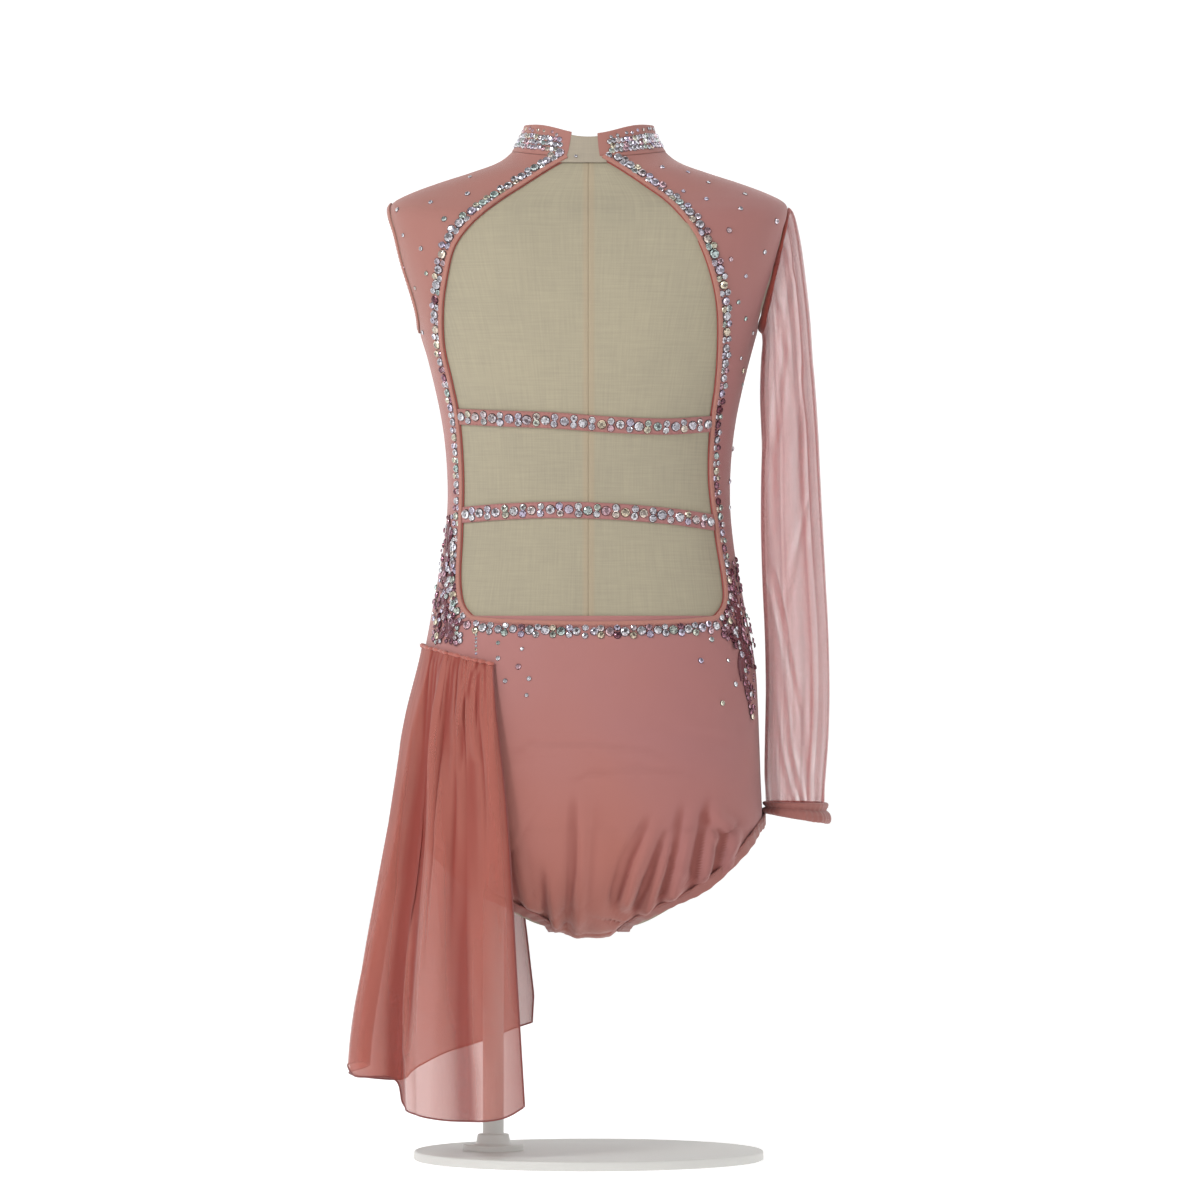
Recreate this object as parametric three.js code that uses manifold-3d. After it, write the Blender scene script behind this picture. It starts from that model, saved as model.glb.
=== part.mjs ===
// A lyrical dance dress on a limbless dress form: an open-backed leotard with a stand-up collar, one long
// sleeve and a gathered half skirt on the left hip. Millimetres, +Z up. The dress's back faces -Y and its
// sleeve is on +X. The origin is the middle of the stand's underside.
import * as THREE from "three";
import { mergeVertices } from "three/addons/utils/BufferGeometryUtils.js";
import Module from "manifold-3d";

const wasm = await Module();
wasm.setup();

// ---- driving dimensions ------------------------------------------------------------------------------

const QUARTER = Math.PI / 2;

// cloth, and the gaps between what lies on what
const CLOTH = 1.5; // wall of the leotard's knit
const CLEAR = 1.1; // from the figure to the knit
const FORM_INSET = 1.4; // the dress form is a little smaller than the figure
const SEAM = 0.3; // between pieces sewn to one another
const ON_FORM = CLEAR; // inner face of the leotard, out from the form
const ON_CLOTH = CLEAR + CLOTH + SEAM; // inner face of what lies on the leotard
const TRIM = 1.2; // wall of bindings, bands and appliques
const BAND_LIFT = 1.4; // more, under bands that bend round an edge
const LACE_LIFT = 0.25; // more, under the appliques
const SHEER = 1.2; // wall of the mesh sleeve and the chiffon

// heights above the lowest point of the hem
const HEM_TO_FLOOR = 40;
const CROTCH = 160;
const LEG_TOP = 254;
const UNDERARM = 670;
const SHOULDER_TIP = 778;
const FORM_TOP = 827;

// The general figure: a ring at each height, with its half width, how far it reaches back and front, and
// how square it is. Below the leg openings' tops, how far from the middle of the back and of the front
// their edges lie, in degrees of turn.
const FIGURE = [
  { height: 160, width: 146, back: 0.15, front: 0.15, power: 2.3, legBack: 12.6, legFront: 12.6 },
  { height: 162, width: 146, back: 22, front: 20, power: 2.3, legBack: 12.6, legFront: 12.6 },
  { height: 167, width: 146, back: 43, front: 37, power: 2.3, legBack: 14.8, legFront: 13.6 },
  { height: 177, width: 146, back: 64, front: 53, power: 2.3, legBack: 21.6, legFront: 16.4 },
  { height: 192, width: 146, back: 83, front: 67, power: 2.4, legBack: 35, legFront: 22 },
  { height: 212, width: 146, back: 98, front: 79, power: 2.4, legBack: 48.6, legFront: 31 },
  { height: 233, width: 146.3, back: 106, front: 86, power: 2.4, legBack: 62, legFront: 45 },
  { height: 244, width: 146.3, back: 109, front: 89, power: 2.4, legBack: 73, legFront: 60 },
  { height: 254, width: 146.3, back: 111, front: 91, power: 2.4, legBack: 90, legFront: 90 },
  { height: 284, width: 145, back: 113, front: 95, power: 2.4, legBack: 90, legFront: 90 },
  { height: 320, width: 143.8, back: 113, front: 98, power: 2.4 },
  { height: 352, width: 142.6, back: 109, front: 99, power: 2.4 },
  { height: 384, width: 140.4, back: 102, front: 98, power: 2.3 },
  { height: 420, width: 134, back: 92, front: 94, power: 2.3 },
  { height: 450, width: 128.4, back: 84, front: 90, power: 2.3 },
  { height: 484, width: 122.4, back: 78, front: 87, power: 2.3 },
  { height: 520, width: 119, back: 75, front: 86, power: 2.3 },
  { height: 556, width: 119.6, back: 78, front: 89, power: 2.3 },
  { height: 592, width: 123.6, back: 84, front: 96, power: 2.3 },
  { height: 630, width: 131.6, back: 91, front: 106, power: 2.4 },
  { height: 670, width: 142.2, back: 97, front: 114, power: 2.5 },
  { height: 700, width: 151, back: 100, front: 115, power: 2.7 },
  { height: 728, width: 159.4, back: 99, front: 108, power: 2.9 },
  { height: 752, width: 165.6, back: 93, front: 96, power: 2.9 },
  { height: 768, width: 169.4, back: 85, front: 84, power: 2.8 },
  { height: 778, width: 167, back: 76, front: 75, power: 2.5 },
  { height: 786, width: 153, back: 70, front: 69, power: 2.3 },
  { height: 795, width: 129, back: 66, front: 65, power: 2.2 },
  { height: 804, width: 101, back: 62, front: 63, power: 2.2 },
  { height: 812, width: 79, back: 58, front: 61, power: 2.1 },
  { height: 820, width: 67, back: 54, front: 60, power: 2.1 },
  { height: 830, width: 59, back: 51, front: 59, power: 2.1 },
  { height: 842, width: 53.8, back: 48.5, front: 58, power: 2.1 },
  { height: 856, width: 51.6, back: 47, front: 57, power: 2.1 },
];

// The open back: the x of its left and right edges, from its lower corners up to the collar.
const OPEN_BACK = [
  { height: 426, left: -98, right: 106 },
  { height: 434, left: -104.5, right: 112 },
  { height: 445, left: -107.5, right: 114 },
  { height: 464, left: -108.5, right: 112 },
  { height: 496, left: -107, right: 107 },
  { height: 544, left: -106, right: 101.5 },
  { height: 592, left: -109, right: 103 },
  { height: 624, left: -115, right: 107 },
  { height: 656, left: -122, right: 109 },
  { height: 688, left: -123, right: 108.5 },
  { height: 715, left: -119.5, right: 103.5 },
  { height: 740, left: -113, right: 94.5 },
  { height: 760, left: -98, right: 82.5 },
  { height: 778, left: -76, right: 66 },
  { height: 791, left: -57, right: 49 },
  { height: 804, left: -37, right: 30 },
  { height: 815.5, left: -17.6, right: 11.2 },
];
const OPEN_BACK_SAG = 5; // of its lower edge, below the corners
const BINDING_WIDTH = 4.5;

const ARMHOLE_HALF = 37; // half its width from front to back
const ARMHOLE_BINDING_WIDTH = 5;
const LEG_BAND_WIDTH = 10;

// Neck seam and collar: heights at the back, at the sides and at the front.
const NECK_SEAM = { back: 816, side: 822.5, front: 804 };
const COLLAR_TOP = { back: 837, side: 846.5, front: 831 };
const COLLAR_WALL = 2.2;
const COLLAR_ENDS = { left: -14.4, right: 7.2 };

// Straps across the open back: the height of the middle line from the left end to the right end.
const STRAP_WIDTH = 11.5;
const STRAP_UPPER = [596.5, 594.5, 592.5, 589, 587.5, 590];
const STRAP_LOWER = [512.5, 515, 516.5, 515, 511, 506];

// The sleeve: a ring from its outer to its inner edge, and how far it reaches to the back and front.
const SLEEVE = [
  { outer: 171.6, outerHeight: 776.4, inner: 146.6, innerHeight: 672.4, reach: 35.4 },
  { outer: 176, outerHeight: 771, inner: 148.8, innerHeight: 668.4, reach: 40 },
  { outer: 180, outerHeight: 751, inner: 149.4, innerHeight: 660, reach: 45 },
  { outer: 184, outerHeight: 722, inner: 148.8, innerHeight: 648, reach: 48 },
  { outer: 188, outerHeight: 688, inner: 148, innerHeight: 632, reach: 49 },
  { outer: 190.5, outerHeight: 656, inner: 147.6, innerHeight: 614, reach: 48 },
  { outer: 193.5, outerHeight: 620, inner: 148.4, innerHeight: 592, reach: 46.5 },
  { outer: 196, outerHeight: 584, inner: 149.4, innerHeight: 568, reach: 45 },
  { outer: 198, outerHeight: 544, inner: 148.6, innerHeight: 540, reach: 44 },
  { outer: 200.4, outerHeight: 500, inner: 148.4, innerHeight: 500, reach: 43 },
  { outer: 203, outerHeight: 455, inner: 149.6, innerHeight: 455, reach: 42 },
  { outer: 205.4, outerHeight: 410, inner: 151.6, innerHeight: 410, reach: 41 },
  { outer: 206.4, outerHeight: 365, inner: 152.4, innerHeight: 365, reach: 39.5 },
  { outer: 205.4, outerHeight: 325, inner: 151.6, innerHeight: 325, reach: 38 },
  { outer: 203, outerHeight: 292, inner: 151.4, innerHeight: 292, reach: 36.5 },
  { outer: 201.6, outerHeight: 266.3, inner: 152.6, innerHeight: 267.3, reach: 35 },
];
const CUFF = [
  { outer: 201.8, outerHeight: 266, inner: 152.4, innerHeight: 267, reach: 35.2 },
  { outer: 203, outerHeight: 258, inner: 152, innerHeight: 262, reach: 35.8 },
  { outer: 205.6, outerHeight: 248, inner: 151.8, innerHeight: 257, reach: 37 },
];
const CUFF_WALL = 1.8;

// Soft folds down the sleeve: where round it (turns from the outer edge), how far that moves on the way
// down, how far the cloth is moved out, and half its width in turns.
const SLEEVE_FOLDS = [
  { at: 0.14, drift: 0.03, out: 2.6, spread: 0.05 },
  { at: 0.25, drift: -0.04, out: -2.8, spread: 0.045 },
  { at: 0.36, drift: 0.02, out: 2.2, spread: 0.05 },
  { at: 0.62, drift: -0.02, out: 2.4, spread: 0.05 },
  { at: 0.74, drift: 0.03, out: -2.8, spread: 0.05 },
  { at: 0.86, drift: -0.03, out: 2.4, spread: 0.045 },
];

// The half skirt: at each height the middle of its curve, how far it reaches left, back and front, and
// the x of its free edges on the back and on the front.
const SKIRT = [
  { height: 0, middle: -52, left: -204, back: -119, front: 108, backEdge: -53.6, frontEdge: -54 },
  { height: 64, middle: -50, left: -199.5, back: -121, front: 110, backEdge: -57.6, frontEdge: -58 },
  { height: 128, middle: -46, left: -189, back: -124, front: 112, backEdge: -61.5, frontEdge: -62 },
  { height: 192, middle: -40, left: -176.5, back: -126, front: 113, backEdge: -65, frontEdge: -67 },
  { height: 256, middle: -30, left: -164.5, back: -126, front: 112, backEdge: -69, frontEdge: -73 },
  { height: 320, middle: -14, left: -153.5, back: -122, front: 108.5, backEdge: -75, frontEdge: -80 },
  { height: 352, middle: -6, left: -149, back: -116, front: 105, backEdge: -78, frontEdge: -84 },
  { height: 384, middle: -1, left: -143.6, back: -105.4, front: 101.4, backEdge: -80, frontEdge: -86 },
  { height: 404, middle: 0, left: -139.8, back: -99.2, front: 99, backEdge: -81, frontEdge: -86 },
];
const SKIRT_SEAM = { back: 387, side: 401, front: 390 }; // height of the gathered seam
// The hem's height along the cloth, from the back edge (0) to the front edge (1).
const HEM = [
  { along: 0, height: 12 },
  { along: 0.05, height: 2 },
  { along: 0.14, height: 0 },
  { along: 0.24, height: 5 },
  { along: 0.3, height: 30 },
  { along: 0.38, height: 44 },
  { along: 0.46, height: 48 },
  { along: 0.6, height: 30 },
  { along: 0.72, height: 26 },
  { along: 0.84, height: 48 },
  { along: 1, height: 72 },
];
// Folds of the skirt: where along the cloth at the seam and at the hem, how far out at the hem, half the
// width along the cloth, and from where to where down the cloth (0 the seam, 1 the hem) it grows.
const SKIRT_FOLDS = [
  { top: 0.0, hem: 0.0, out: -7, spread: 0.04, from: 0.1, full: 0.9 },
  { top: 0.1, hem: 0.12, out: -7, spread: 0.032, from: 0.02, full: 0.3 },
  { top: 0.16, hem: 0.2, out: 5, spread: 0.03, from: 0.02, full: 0.5 },
  { top: 0.25, hem: 0.29, out: -30, spread: 0.045, from: 0.05, full: 0.85 },
  { top: 0.34, hem: 0.39, out: 9, spread: 0.045, from: 0.05, full: 0.8 },
  { top: 0.45, hem: 0.5, out: -24, spread: 0.04, from: 0.08, full: 0.9 },
  { top: 0.55, hem: 0.6, out: 10, spread: 0.045, from: 0.05, full: 0.8 },
  { top: 0.66, hem: 0.7, out: -22, spread: 0.042, from: 0.08, full: 0.9 },
  { top: 0.78, hem: 0.8, out: 8, spread: 0.05, from: 0.05, full: 0.8 },
  { top: 0.9, hem: 0.9, out: -14, spread: 0.04, from: 0.1, full: 0.9 },
];
const GATHERS = 16; // small pleats at the skirt's seam
const GATHER_DEPTH = 1.7;
const GATHER_FADE = 0.22; // of the way down

// Leaves of the beaded appliques, on each side: the x and height of the leaf's root, the way it points
// (degrees, 0 up and 90 to the right), its length and its width.
const LEAVES_LEFT = [
  { x: -118, height: 490, points: -4, length: 22, width: 6.5 },
  { x: -118.5, height: 474, points: 12, length: 20, width: 6 },
  { x: -119, height: 466, points: -28, length: 22, width: 7 },
  { x: -120, height: 450, points: -34, length: 24, width: 8 },
  { x: -120, height: 444, points: 8, length: 24, width: 7 },
  { x: -120, height: 428, points: -30, length: 24, width: 8 },
  { x: -120, height: 418, points: 84, length: 22, width: 7 },
  { x: -119, height: 416, points: 128, length: 22, width: 7 },
  { x: -119, height: 416, points: -140, length: 18, width: 7 },
];
const STEM_LEFT = [
  { x: -118, height: 496 },
  { x: -118.5, height: 474 },
  { x: -120, height: 448 },
  { x: -120, height: 428 },
  { x: -118.5, height: 412 },
];
const LEAVES_RIGHT = [
  { x: 122, height: 440, points: 4, length: 26, width: 8 },
  { x: 126, height: 424, points: -24, length: 24, width: 8 },
  { x: 126, height: 412, points: 16, length: 28, width: 9 },
  { x: 128, height: 404, points: -62, length: 26, width: 8 },
  { x: 128, height: 404, points: 150, length: 26, width: 9 },
  { x: 127, height: 396, points: -168, length: 26, width: 8 },
  { x: 130, height: 376, points: 170, length: 26, width: 7 },
];
const STEM_RIGHT = [
  { x: 122, height: 452 },
  { x: 126, height: 424 },
  { x: 128, height: 400 },
  { x: 130, height: 376 },
  { x: 134, height: 352 },
];
const STEM_WIDTH = 3.2;

// The form's leg cuts: a plane that rises outwards and is lower at the back, just inside the leg bands.
const LEG_CUT = { x: 37, height: 164.5, rise: 0.8545, tilt: 0.24 };

// The stand: a rod that comes down through the left leg opening, behind the half skirt, to a round plate.
const ROD = { x: -82, radius: 9, into: 70, fit: 0.3 };
const FLANGE = { radius: 26, thick: 5, boss: 15, bossHeight: 14 };
const PLATE = { radius: 150, thick: 8, bevel: 1.5 };

// ---- numbers along tables ----------------------------------------------------------------------------

const mix = (a, b, t) => a + (b - a) * t;
const clamp = (v, low, high) => Math.min(high, Math.max(low, v));
const ease = (low, high, v) => {
  const t = clamp((v - low) / (high - low), 0, 1);
  return t * t * (3 - 2 * t);
};
const bell = (distance, spread) => Math.exp(-((distance / spread) ** 2));

// A column's value at a place counted in rows, on a curve through the rows.
function between(table, key, place) {
  const p = clamp(place, 0, table.length - 1);
  const i = Math.min(Math.floor(p), table.length - 2);
  const t = p - i;
  const value = (k) => table[clamp(k, 0, table.length - 1)][key];
  const [a, b, c, d] = [value(i - 1), value(i), value(i + 1), value(i + 2)];
  return b + 0.5 * t * (c - a + t * (2 * a - 5 * b + 4 * c - d + t * (3 * (b - c) + d - a)));
}

// The place, counted in rows, at which a rising function reaches a value.
function reach(rising, value, low, high) {
  let [from, to] = [low, high];
  for (let step = 0; step < 44; step += 1) {
    const half = (from + to) / 2;
    if (rising(half) < value) from = half;
    else to = half;
  }
  return (from + to) / 2;
}

const placeOf = (table, key, value) =>
  reach((p) => between(table, key, p), value, 0, table.length - 1);
const lookUp = (table, key, value, wanted) => between(table, wanted, placeOf(table, key, value));
const levelAt = (height) => placeOf(FIGURE, "height", height);

// ---- the figure's surface ----------------------------------------------------------------------------

// A point of a closed curve: turn 0 at the back (-Y), a quarter at +X, half a turn at the front.
function onRing({ width, back, front, power }, turn) {
  const across = Math.sin(turn);
  const along = Math.cos(turn);
  const scale = (Math.abs(across) ** power + Math.abs(along) ** power) ** (-1 / power);
  return { x: width * across * scale, y: (along > 0 ? -back : -front) * along * scale };
}

function figure(level, turn) {
  const ring = {
    width: between(FIGURE, "width", level),
    back: between(FIGURE, "back", level),
    front: between(FIGURE, "front", level),
    power: between(FIGURE, "power", level),
  };
  const { x, y } = onRing(ring, turn);
  return new THREE.Vector3(x, y, between(FIGURE, "height", level));
}

// The surface's directions round it and up it, a unit of turn or level long, and its outward normal.
function directions(level, turn) {
  const step = 0.02;
  const low = Math.max(level - step, 0);
  const high = Math.min(level + step, FIGURE.length - 1);
  const round = figure(level, turn + step).sub(figure(level, turn - step)).divideScalar(2 * step);
  const up = figure(high, turn).sub(figure(low, turn)).divideScalar(high - low);
  const normal = new THREE.Vector3().crossVectors(round, up).normalize();
  return { round, up, normal };
}

function lifted(level, turn, out) {
  return figure(level, turn).addScaledVector(directions(level, turn).normal, out);
}

// The level and turn reached by going a way along the surface from a level and turn.
function walk({ level, turn }, way) {
  const { round, up } = directions(level, turn);
  const [rr, uu, ru] = [round.dot(round), up.dot(up), round.dot(up)];
  const [rw, uw] = [round.dot(way), up.dot(way)];
  const det = rr * uu - ru * ru;
  return { level: level + (rr * uw - ru * rw) / det, turn: turn + (uu * rw - ru * uw) / det };
}

// The turn, from the middle of the back or of the front towards +X, at which the ring has this x or y.
function turnAtX(level, x, front) {
  const from = (t) => figure(level, front ? Math.PI - t : t).x;
  return reach(from, Math.abs(x), 0, QUARTER);
}

function turnAtY(level, y, front) {
  const from = (t) => -Math.abs(figure(level, front ? Math.PI - t : t).y);
  return reach(from, -Math.abs(y), 0, QUARTER);
}

// ---- closed walls ------------------------------------------------------------------------------------

// A geometry from triangles, each a list of three points.
function fromTriangles(triangles) {
  const geometry = new THREE.BufferGeometry();
  const numbers = triangles.flatMap((triangle) => triangle.flatMap((p) => [p.x, p.y, p.z]));
  geometry.setAttribute("position", new THREE.Float32BufferAttribute(numbers, 3));
  geometry.computeVertexNormals();
  return geometry;
}

// A closed wall over a grid. place(row, column) gives its inner and outer point, columns run round the
// figure with the turn and rows run up. A ring's last column meets its first. Cells named open are left
// out, and each free edge gets a narrow face.
function wall(rows, columns, place, { ring = false, open = () => false } = {}) {
  const grid = [];
  for (let row = 0; row < rows; row += 1) {
    grid.push([]);
    for (let column = 0; column < columns; column += 1) grid[row].push(place(row, column));
  }
  const cellColumns = ring ? columns : columns - 1;
  const at = (row, column) => grid[row][column % columns];
  const closed = (row, column) => {
    if (row < 0 || row > rows - 2) return false;
    if (!ring && (column < 0 || column > cellColumns - 1)) return false;
    return !open(row, (column + cellColumns) % cellColumns);
  };
  const triangles = [];
  const quad = (a, b, c, d) => triangles.push([a, b, c], [a, c, d]);
  const rim = (a, b) => quad(b.outer, a.outer, a.inner, b.inner);
  for (let row = 0; row < rows - 1; row += 1) {
    for (let column = 0; column < cellColumns; column += 1) {
      if (!closed(row, column)) continue;
      const a = at(row, column);
      const b = at(row, column + 1);
      const c = at(row + 1, column + 1);
      const d = at(row + 1, column);
      quad(a.outer, b.outer, c.outer, d.outer);
      quad(a.inner, d.inner, c.inner, b.inner);
      if (!closed(row - 1, column)) rim(a, b);
      if (!closed(row + 1, column)) rim(c, d);
      if (!closed(row, column - 1)) rim(d, a);
      if (!closed(row, column + 1)) rim(b, c);
    }
  }
  return fromTriangles(triangles);
}

// A place for wall(): a level and turn of the figure, with the wall's inner and outer distance.
function layer({ level, turn }, inner, thick) {
  return { inner: lifted(level, turn, inner), outer: lifted(level, turn, inner + thick) };
}

// ---- joins and cuts ----------------------------------------------------------------------------------

function solid(geometry) {
  const bare = new THREE.BufferGeometry();
  const source = geometry.index ? geometry.toNonIndexed() : geometry;
  bare.setAttribute("position", source.getAttribute("position"));
  const merged = mergeVertices(bare, 1e-4);
  const triVerts = new Uint32Array(merged.index.array);
  const vertProperties = merged.attributes.position.array;
  return new wasm.Manifold(new wasm.Mesh({ numProp: 3, vertProperties, triVerts }));
}

function geometryOf(body) {
  const { vertProperties, triVerts, numProp } = body.getMesh();
  const triangles = [];
  const point = (v) => new THREE.Vector3().fromArray(vertProperties, v * numProp);
  for (let i = 0; i < triVerts.length; i += 3) {
    triangles.push([point(triVerts[i]), point(triVerts[i + 1]), point(triVerts[i + 2])]);
  }
  return fromTriangles(triangles);
}

// ---- edges that the leotard's panels share -----------------------------------------------------------

// Heights at the back, the sides and the front, blended round the neck or the hip.
function roundHeight({ back, side, front }, turn) {
  const along = Math.cos(turn);
  return along > 0 ? mix(side, back, along * along) : mix(side, front, along * along);
}

// The rows that every panel of the leotard goes through, from the crotch to the neck seam.
const ROWS = [
  160, 162, 167, 177, 192, 212, 233, 240, 245, 250, 254, 284, 320, 352, 384, 426, 434, 445, 464, 496, 528, 560,
  592, 630, 670, 677, 692, 716, 744, 760, 770, 778, 786, 795, 804, 811, 816,
];
const BACK_ONLY_ROWS = [434, 445, 811];
const NECK_ROW = ROWS.at(-1);
const TILT_FROM = 770; // above this the rows tilt into the neck seam

function rowHeight(height, turn) {
  return height + (roundHeight(NECK_SEAM, turn) - NECK_ROW) * ease(TILT_FROM, NECK_ROW, height);
}

// How far from the middle of the back or front a panel goes at this height, as a turn.
function edgeTurn(height, front) {
  const level = levelAt(height);
  const leg = front ? "legFront" : "legBack";
  if (height < LEG_TOP) return THREE.MathUtils.degToRad(between(FIGURE, leg, level));
  const middle = (UNDERARM + SHOULDER_TIP) / 2;
  const rise = (height - middle) / (SHOULDER_TIP - middle);
  if (Math.abs(rise) < 1) {
    const half = Math.max(ARMHOLE_HALF * (1 - rise ** 4) ** 0.5, SEAM / 2);
    return turnAtY(level, half, front);
  }
  return turnAtY(level, SEAM / 2, front);
}

const backTurn = (height, x) => Math.sign(x) * turnAtX(levelAt(height), x, false);
const openLeft = (height) => backTurn(height, lookUp(OPEN_BACK, "height", height, "left"));
const openRight = (height) => backTurn(height, lookUp(OPEN_BACK, "height", height, "right"));
const OPEN_BACK_FOOT = OPEN_BACK[0].height;
const OPEN_BACK_ROW = ROWS.indexOf(OPEN_BACK_FOOT);

// The height of the open back's lower edge, from its left corner (0) to its right corner (1).
const openFoot = (along) => OPEN_BACK_FOOT - OPEN_BACK_SAG * Math.sin(Math.PI * along) ** 0.7;

// ---- leotard -----------------------------------------------------------------------------------------

function frontBody() {
  const cells = 20;
  const rows = ROWS.filter((height) => !BACK_ONLY_ROWS.includes(height));
  return wall(rows.length, cells + 1, (row, column) => {
    const edge = edgeTurn(rows[row], true);
    const turn = mix(Math.PI - edge, Math.PI + edge, column / cells);
    return layer({ level: levelAt(rowHeight(rows[row], turn)), turn }, ON_FORM, CLOTH);
  });
}

// The back is one piece: the seat below the open back, and a panel up each side of it.
const SIDE_CELLS = 5;
const SEAT_CELLS = 14;

function backPlace(row, column) {
  const nominal = ROWS[row];
  const edge = edgeTurn(nominal, false);
  const atFoot = Math.max(nominal, OPEN_BACK_FOOT);
  const [left, right] = [openLeft(atFoot), openRight(atFoot)];
  const rightColumn = SIDE_CELLS + SEAT_CELLS;
  const inSeat = clamp((column - SIDE_CELLS) / SEAT_CELLS, 0, 1);
  let turn = mix(left, right, inSeat);
  const edgeAtFoot = edgeTurn(atFoot, false);
  if (column < SIDE_CELLS) turn = mix(-edgeAtFoot, left, column / SIDE_CELLS);
  if (column > rightColumn) turn = mix(right, edgeAtFoot, (column - rightColumn) / SIDE_CELLS);
  turn *= edge / edgeAtFoot;
  let height = rowHeight(nominal, turn);
  if (row === OPEN_BACK_ROW) height = openFoot(inSeat);
  return { level: levelAt(height), turn };
}

function backBody() {
  const columns = 2 * SIDE_CELLS + SEAT_CELLS + 1;
  const isOpen = (row, column) =>
    row >= OPEN_BACK_ROW && column >= SIDE_CELLS && column < SIDE_CELLS + SEAT_CELLS;
  const place = (row, column) => layer(backPlace(row, column), ON_FORM, CLOTH);
  return wall(ROWS.length, columns, place, { open: isOpen });
}

// A strip along a path of the figure, on top of the leotard: to the path's left as seen from outside, or
// to its right where the width is negative.
function strip(path, width, { ring = false, inner = ON_CLOTH, thick = TRIM } = {}) {
  const last = path.length - 1;
  const neighbour = (i) => (ring ? path.at(((i % path.length) + path.length) % path.length) : path[clamp(i, 0, last)]);
  const side = path.map((here, i) => {
    const [before, after] = [neighbour(i - 1), neighbour(i + 1)];
    const along = figure(after.level, after.turn).sub(figure(before.level, before.turn)).normalize();
    const { normal } = directions(here.level, here.turn);
    return walk(here, new THREE.Vector3().crossVectors(normal, along).setLength(width));
  });
  const rows = width > 0 ? [path, side] : [side, path];
  return wall(2, path.length, (row, column) => layer(rows[row][column], inner, thick), { ring });
}

function openingBinding() {
  const upper = ROWS.slice(OPEN_BACK_ROW + 1).map((height) => Math.min(height, NECK_ROW - BINDING_WIDTH));
  const foot = [];
  for (let column = 0; column <= SEAT_CELLS; column += 1) {
    foot.push(backPlace(OPEN_BACK_ROW, SIDE_CELLS + column));
  }
  const leftSide = upper.map((height) => ({ level: levelAt(height), turn: openLeft(height) }));
  const rightSide = upper.map((height) => ({ level: levelAt(height), turn: openRight(height) }));
  const path = [...rightSide.reverse(), ...foot.reverse(), ...leftSide].reverse();
  return strip(path, -BINDING_WIDTH, { inner: ON_CLOTH + LACE_LIFT });
}

function strap(middles) {
  const cells = 18;
  const table = middles.map((height) => ({ height }));
  return wall(2, cells + 1, (row, column) => {
    const along = column / cells;
    const middle = between(table, "height", along * (table.length - 1));
    const height = middle + (row - 0.5) * STRAP_WIDTH;
    const level = levelAt(height);
    const gap = (2 * SEAM) / directions(level, openLeft(height)).round.length();
    const turn = mix(openLeft(height) + gap, openRight(height) - gap, along);
    return layer({ level, turn }, ON_FORM, CLOTH);
  });
}

// A list of heights with another between each two that lie far apart.
function finer(heights) {
  const far = 4;
  return heights.flatMap((height, i) => {
    const next = heights[i + 1] ?? height;
    return next - height > far ? [height, (height + next) / 2] : [height];
  });
}

// Along a leg edge: down the back, under the crotch and up the front.
function legBand(side) {
  const heights = finer(ROWS.filter((height) => height <= LEG_TOP)).slice(0, -1);
  const edge = (height, front) => {
    const turn = edgeTurn(height, front);
    return { level: levelAt(height), turn: front ? Math.PI - turn : turn };
  };
  const back = heights.map((height) => edge(height, false)).reverse();
  const front = heights.slice(1).map((height) => edge(height, true));
  const top = { level: levelAt(LEG_TOP), turn: QUARTER };
  const path = [top, ...back, ...front].map(({ level, turn }) => ({ level, turn: side * turn }));
  return strip(path, -side * LEG_BAND_WIDTH, { ring: true, inner: ON_CLOTH + BAND_LIFT });
}

// Round the left armhole's edge.
function armholeBinding() {
  const heights = finer(ROWS.filter((height) => height >= UNDERARM && height <= SHOULDER_TIP)).slice(1, -1);
  const back = heights.map((height) => ({ level: levelAt(height), turn: -edgeTurn(height, false) }));
  const front = heights.map((height) => ({ level: levelAt(height), turn: edgeTurn(height, true) - Math.PI }));
  const foot = { level: levelAt(UNDERARM), turn: -QUARTER };
  const top = { level: levelAt(SHOULDER_TIP), turn: -QUARTER };
  const path = [foot, ...back, top, ...front.reverse()];
  return strip(path, -ARMHOLE_BINDING_WIDTH, { ring: true, inner: ON_CLOTH + BAND_LIFT });
}

// ---- collar ------------------------------------------------------------------------------------------

function neckBand(cells, from, to, low, high, thick) {
  const rows = 2;
  return wall(rows + 1, cells + 1, (row, column) => {
    const turn = mix(from, to, column / cells);
    const height = mix(roundHeight(low, turn) + 2 * SEAM, roundHeight(high, turn), row / rows);
    return layer({ level: levelAt(height), turn }, ON_FORM, thick);
  });
}

function collar() {
  const from = backTurn(COLLAR_TOP.back, COLLAR_ENDS.right);
  const to = 2 * Math.PI + backTurn(COLLAR_TOP.back, COLLAR_ENDS.left);
  return neckBand(30, from, to, NECK_SEAM, COLLAR_TOP, COLLAR_WALL);
}

function collarTab() {
  const from = backTurn(COLLAR_TOP.back, COLLAR_ENDS.left + SEAM);
  const to = backTurn(COLLAR_TOP.back, COLLAR_ENDS.right - SEAM);
  return neckBand(5, from, to, NECK_SEAM, COLLAR_TOP, COLLAR_WALL);
}

// ---- sleeve ------------------------------------------------------------------------------------------

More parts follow.
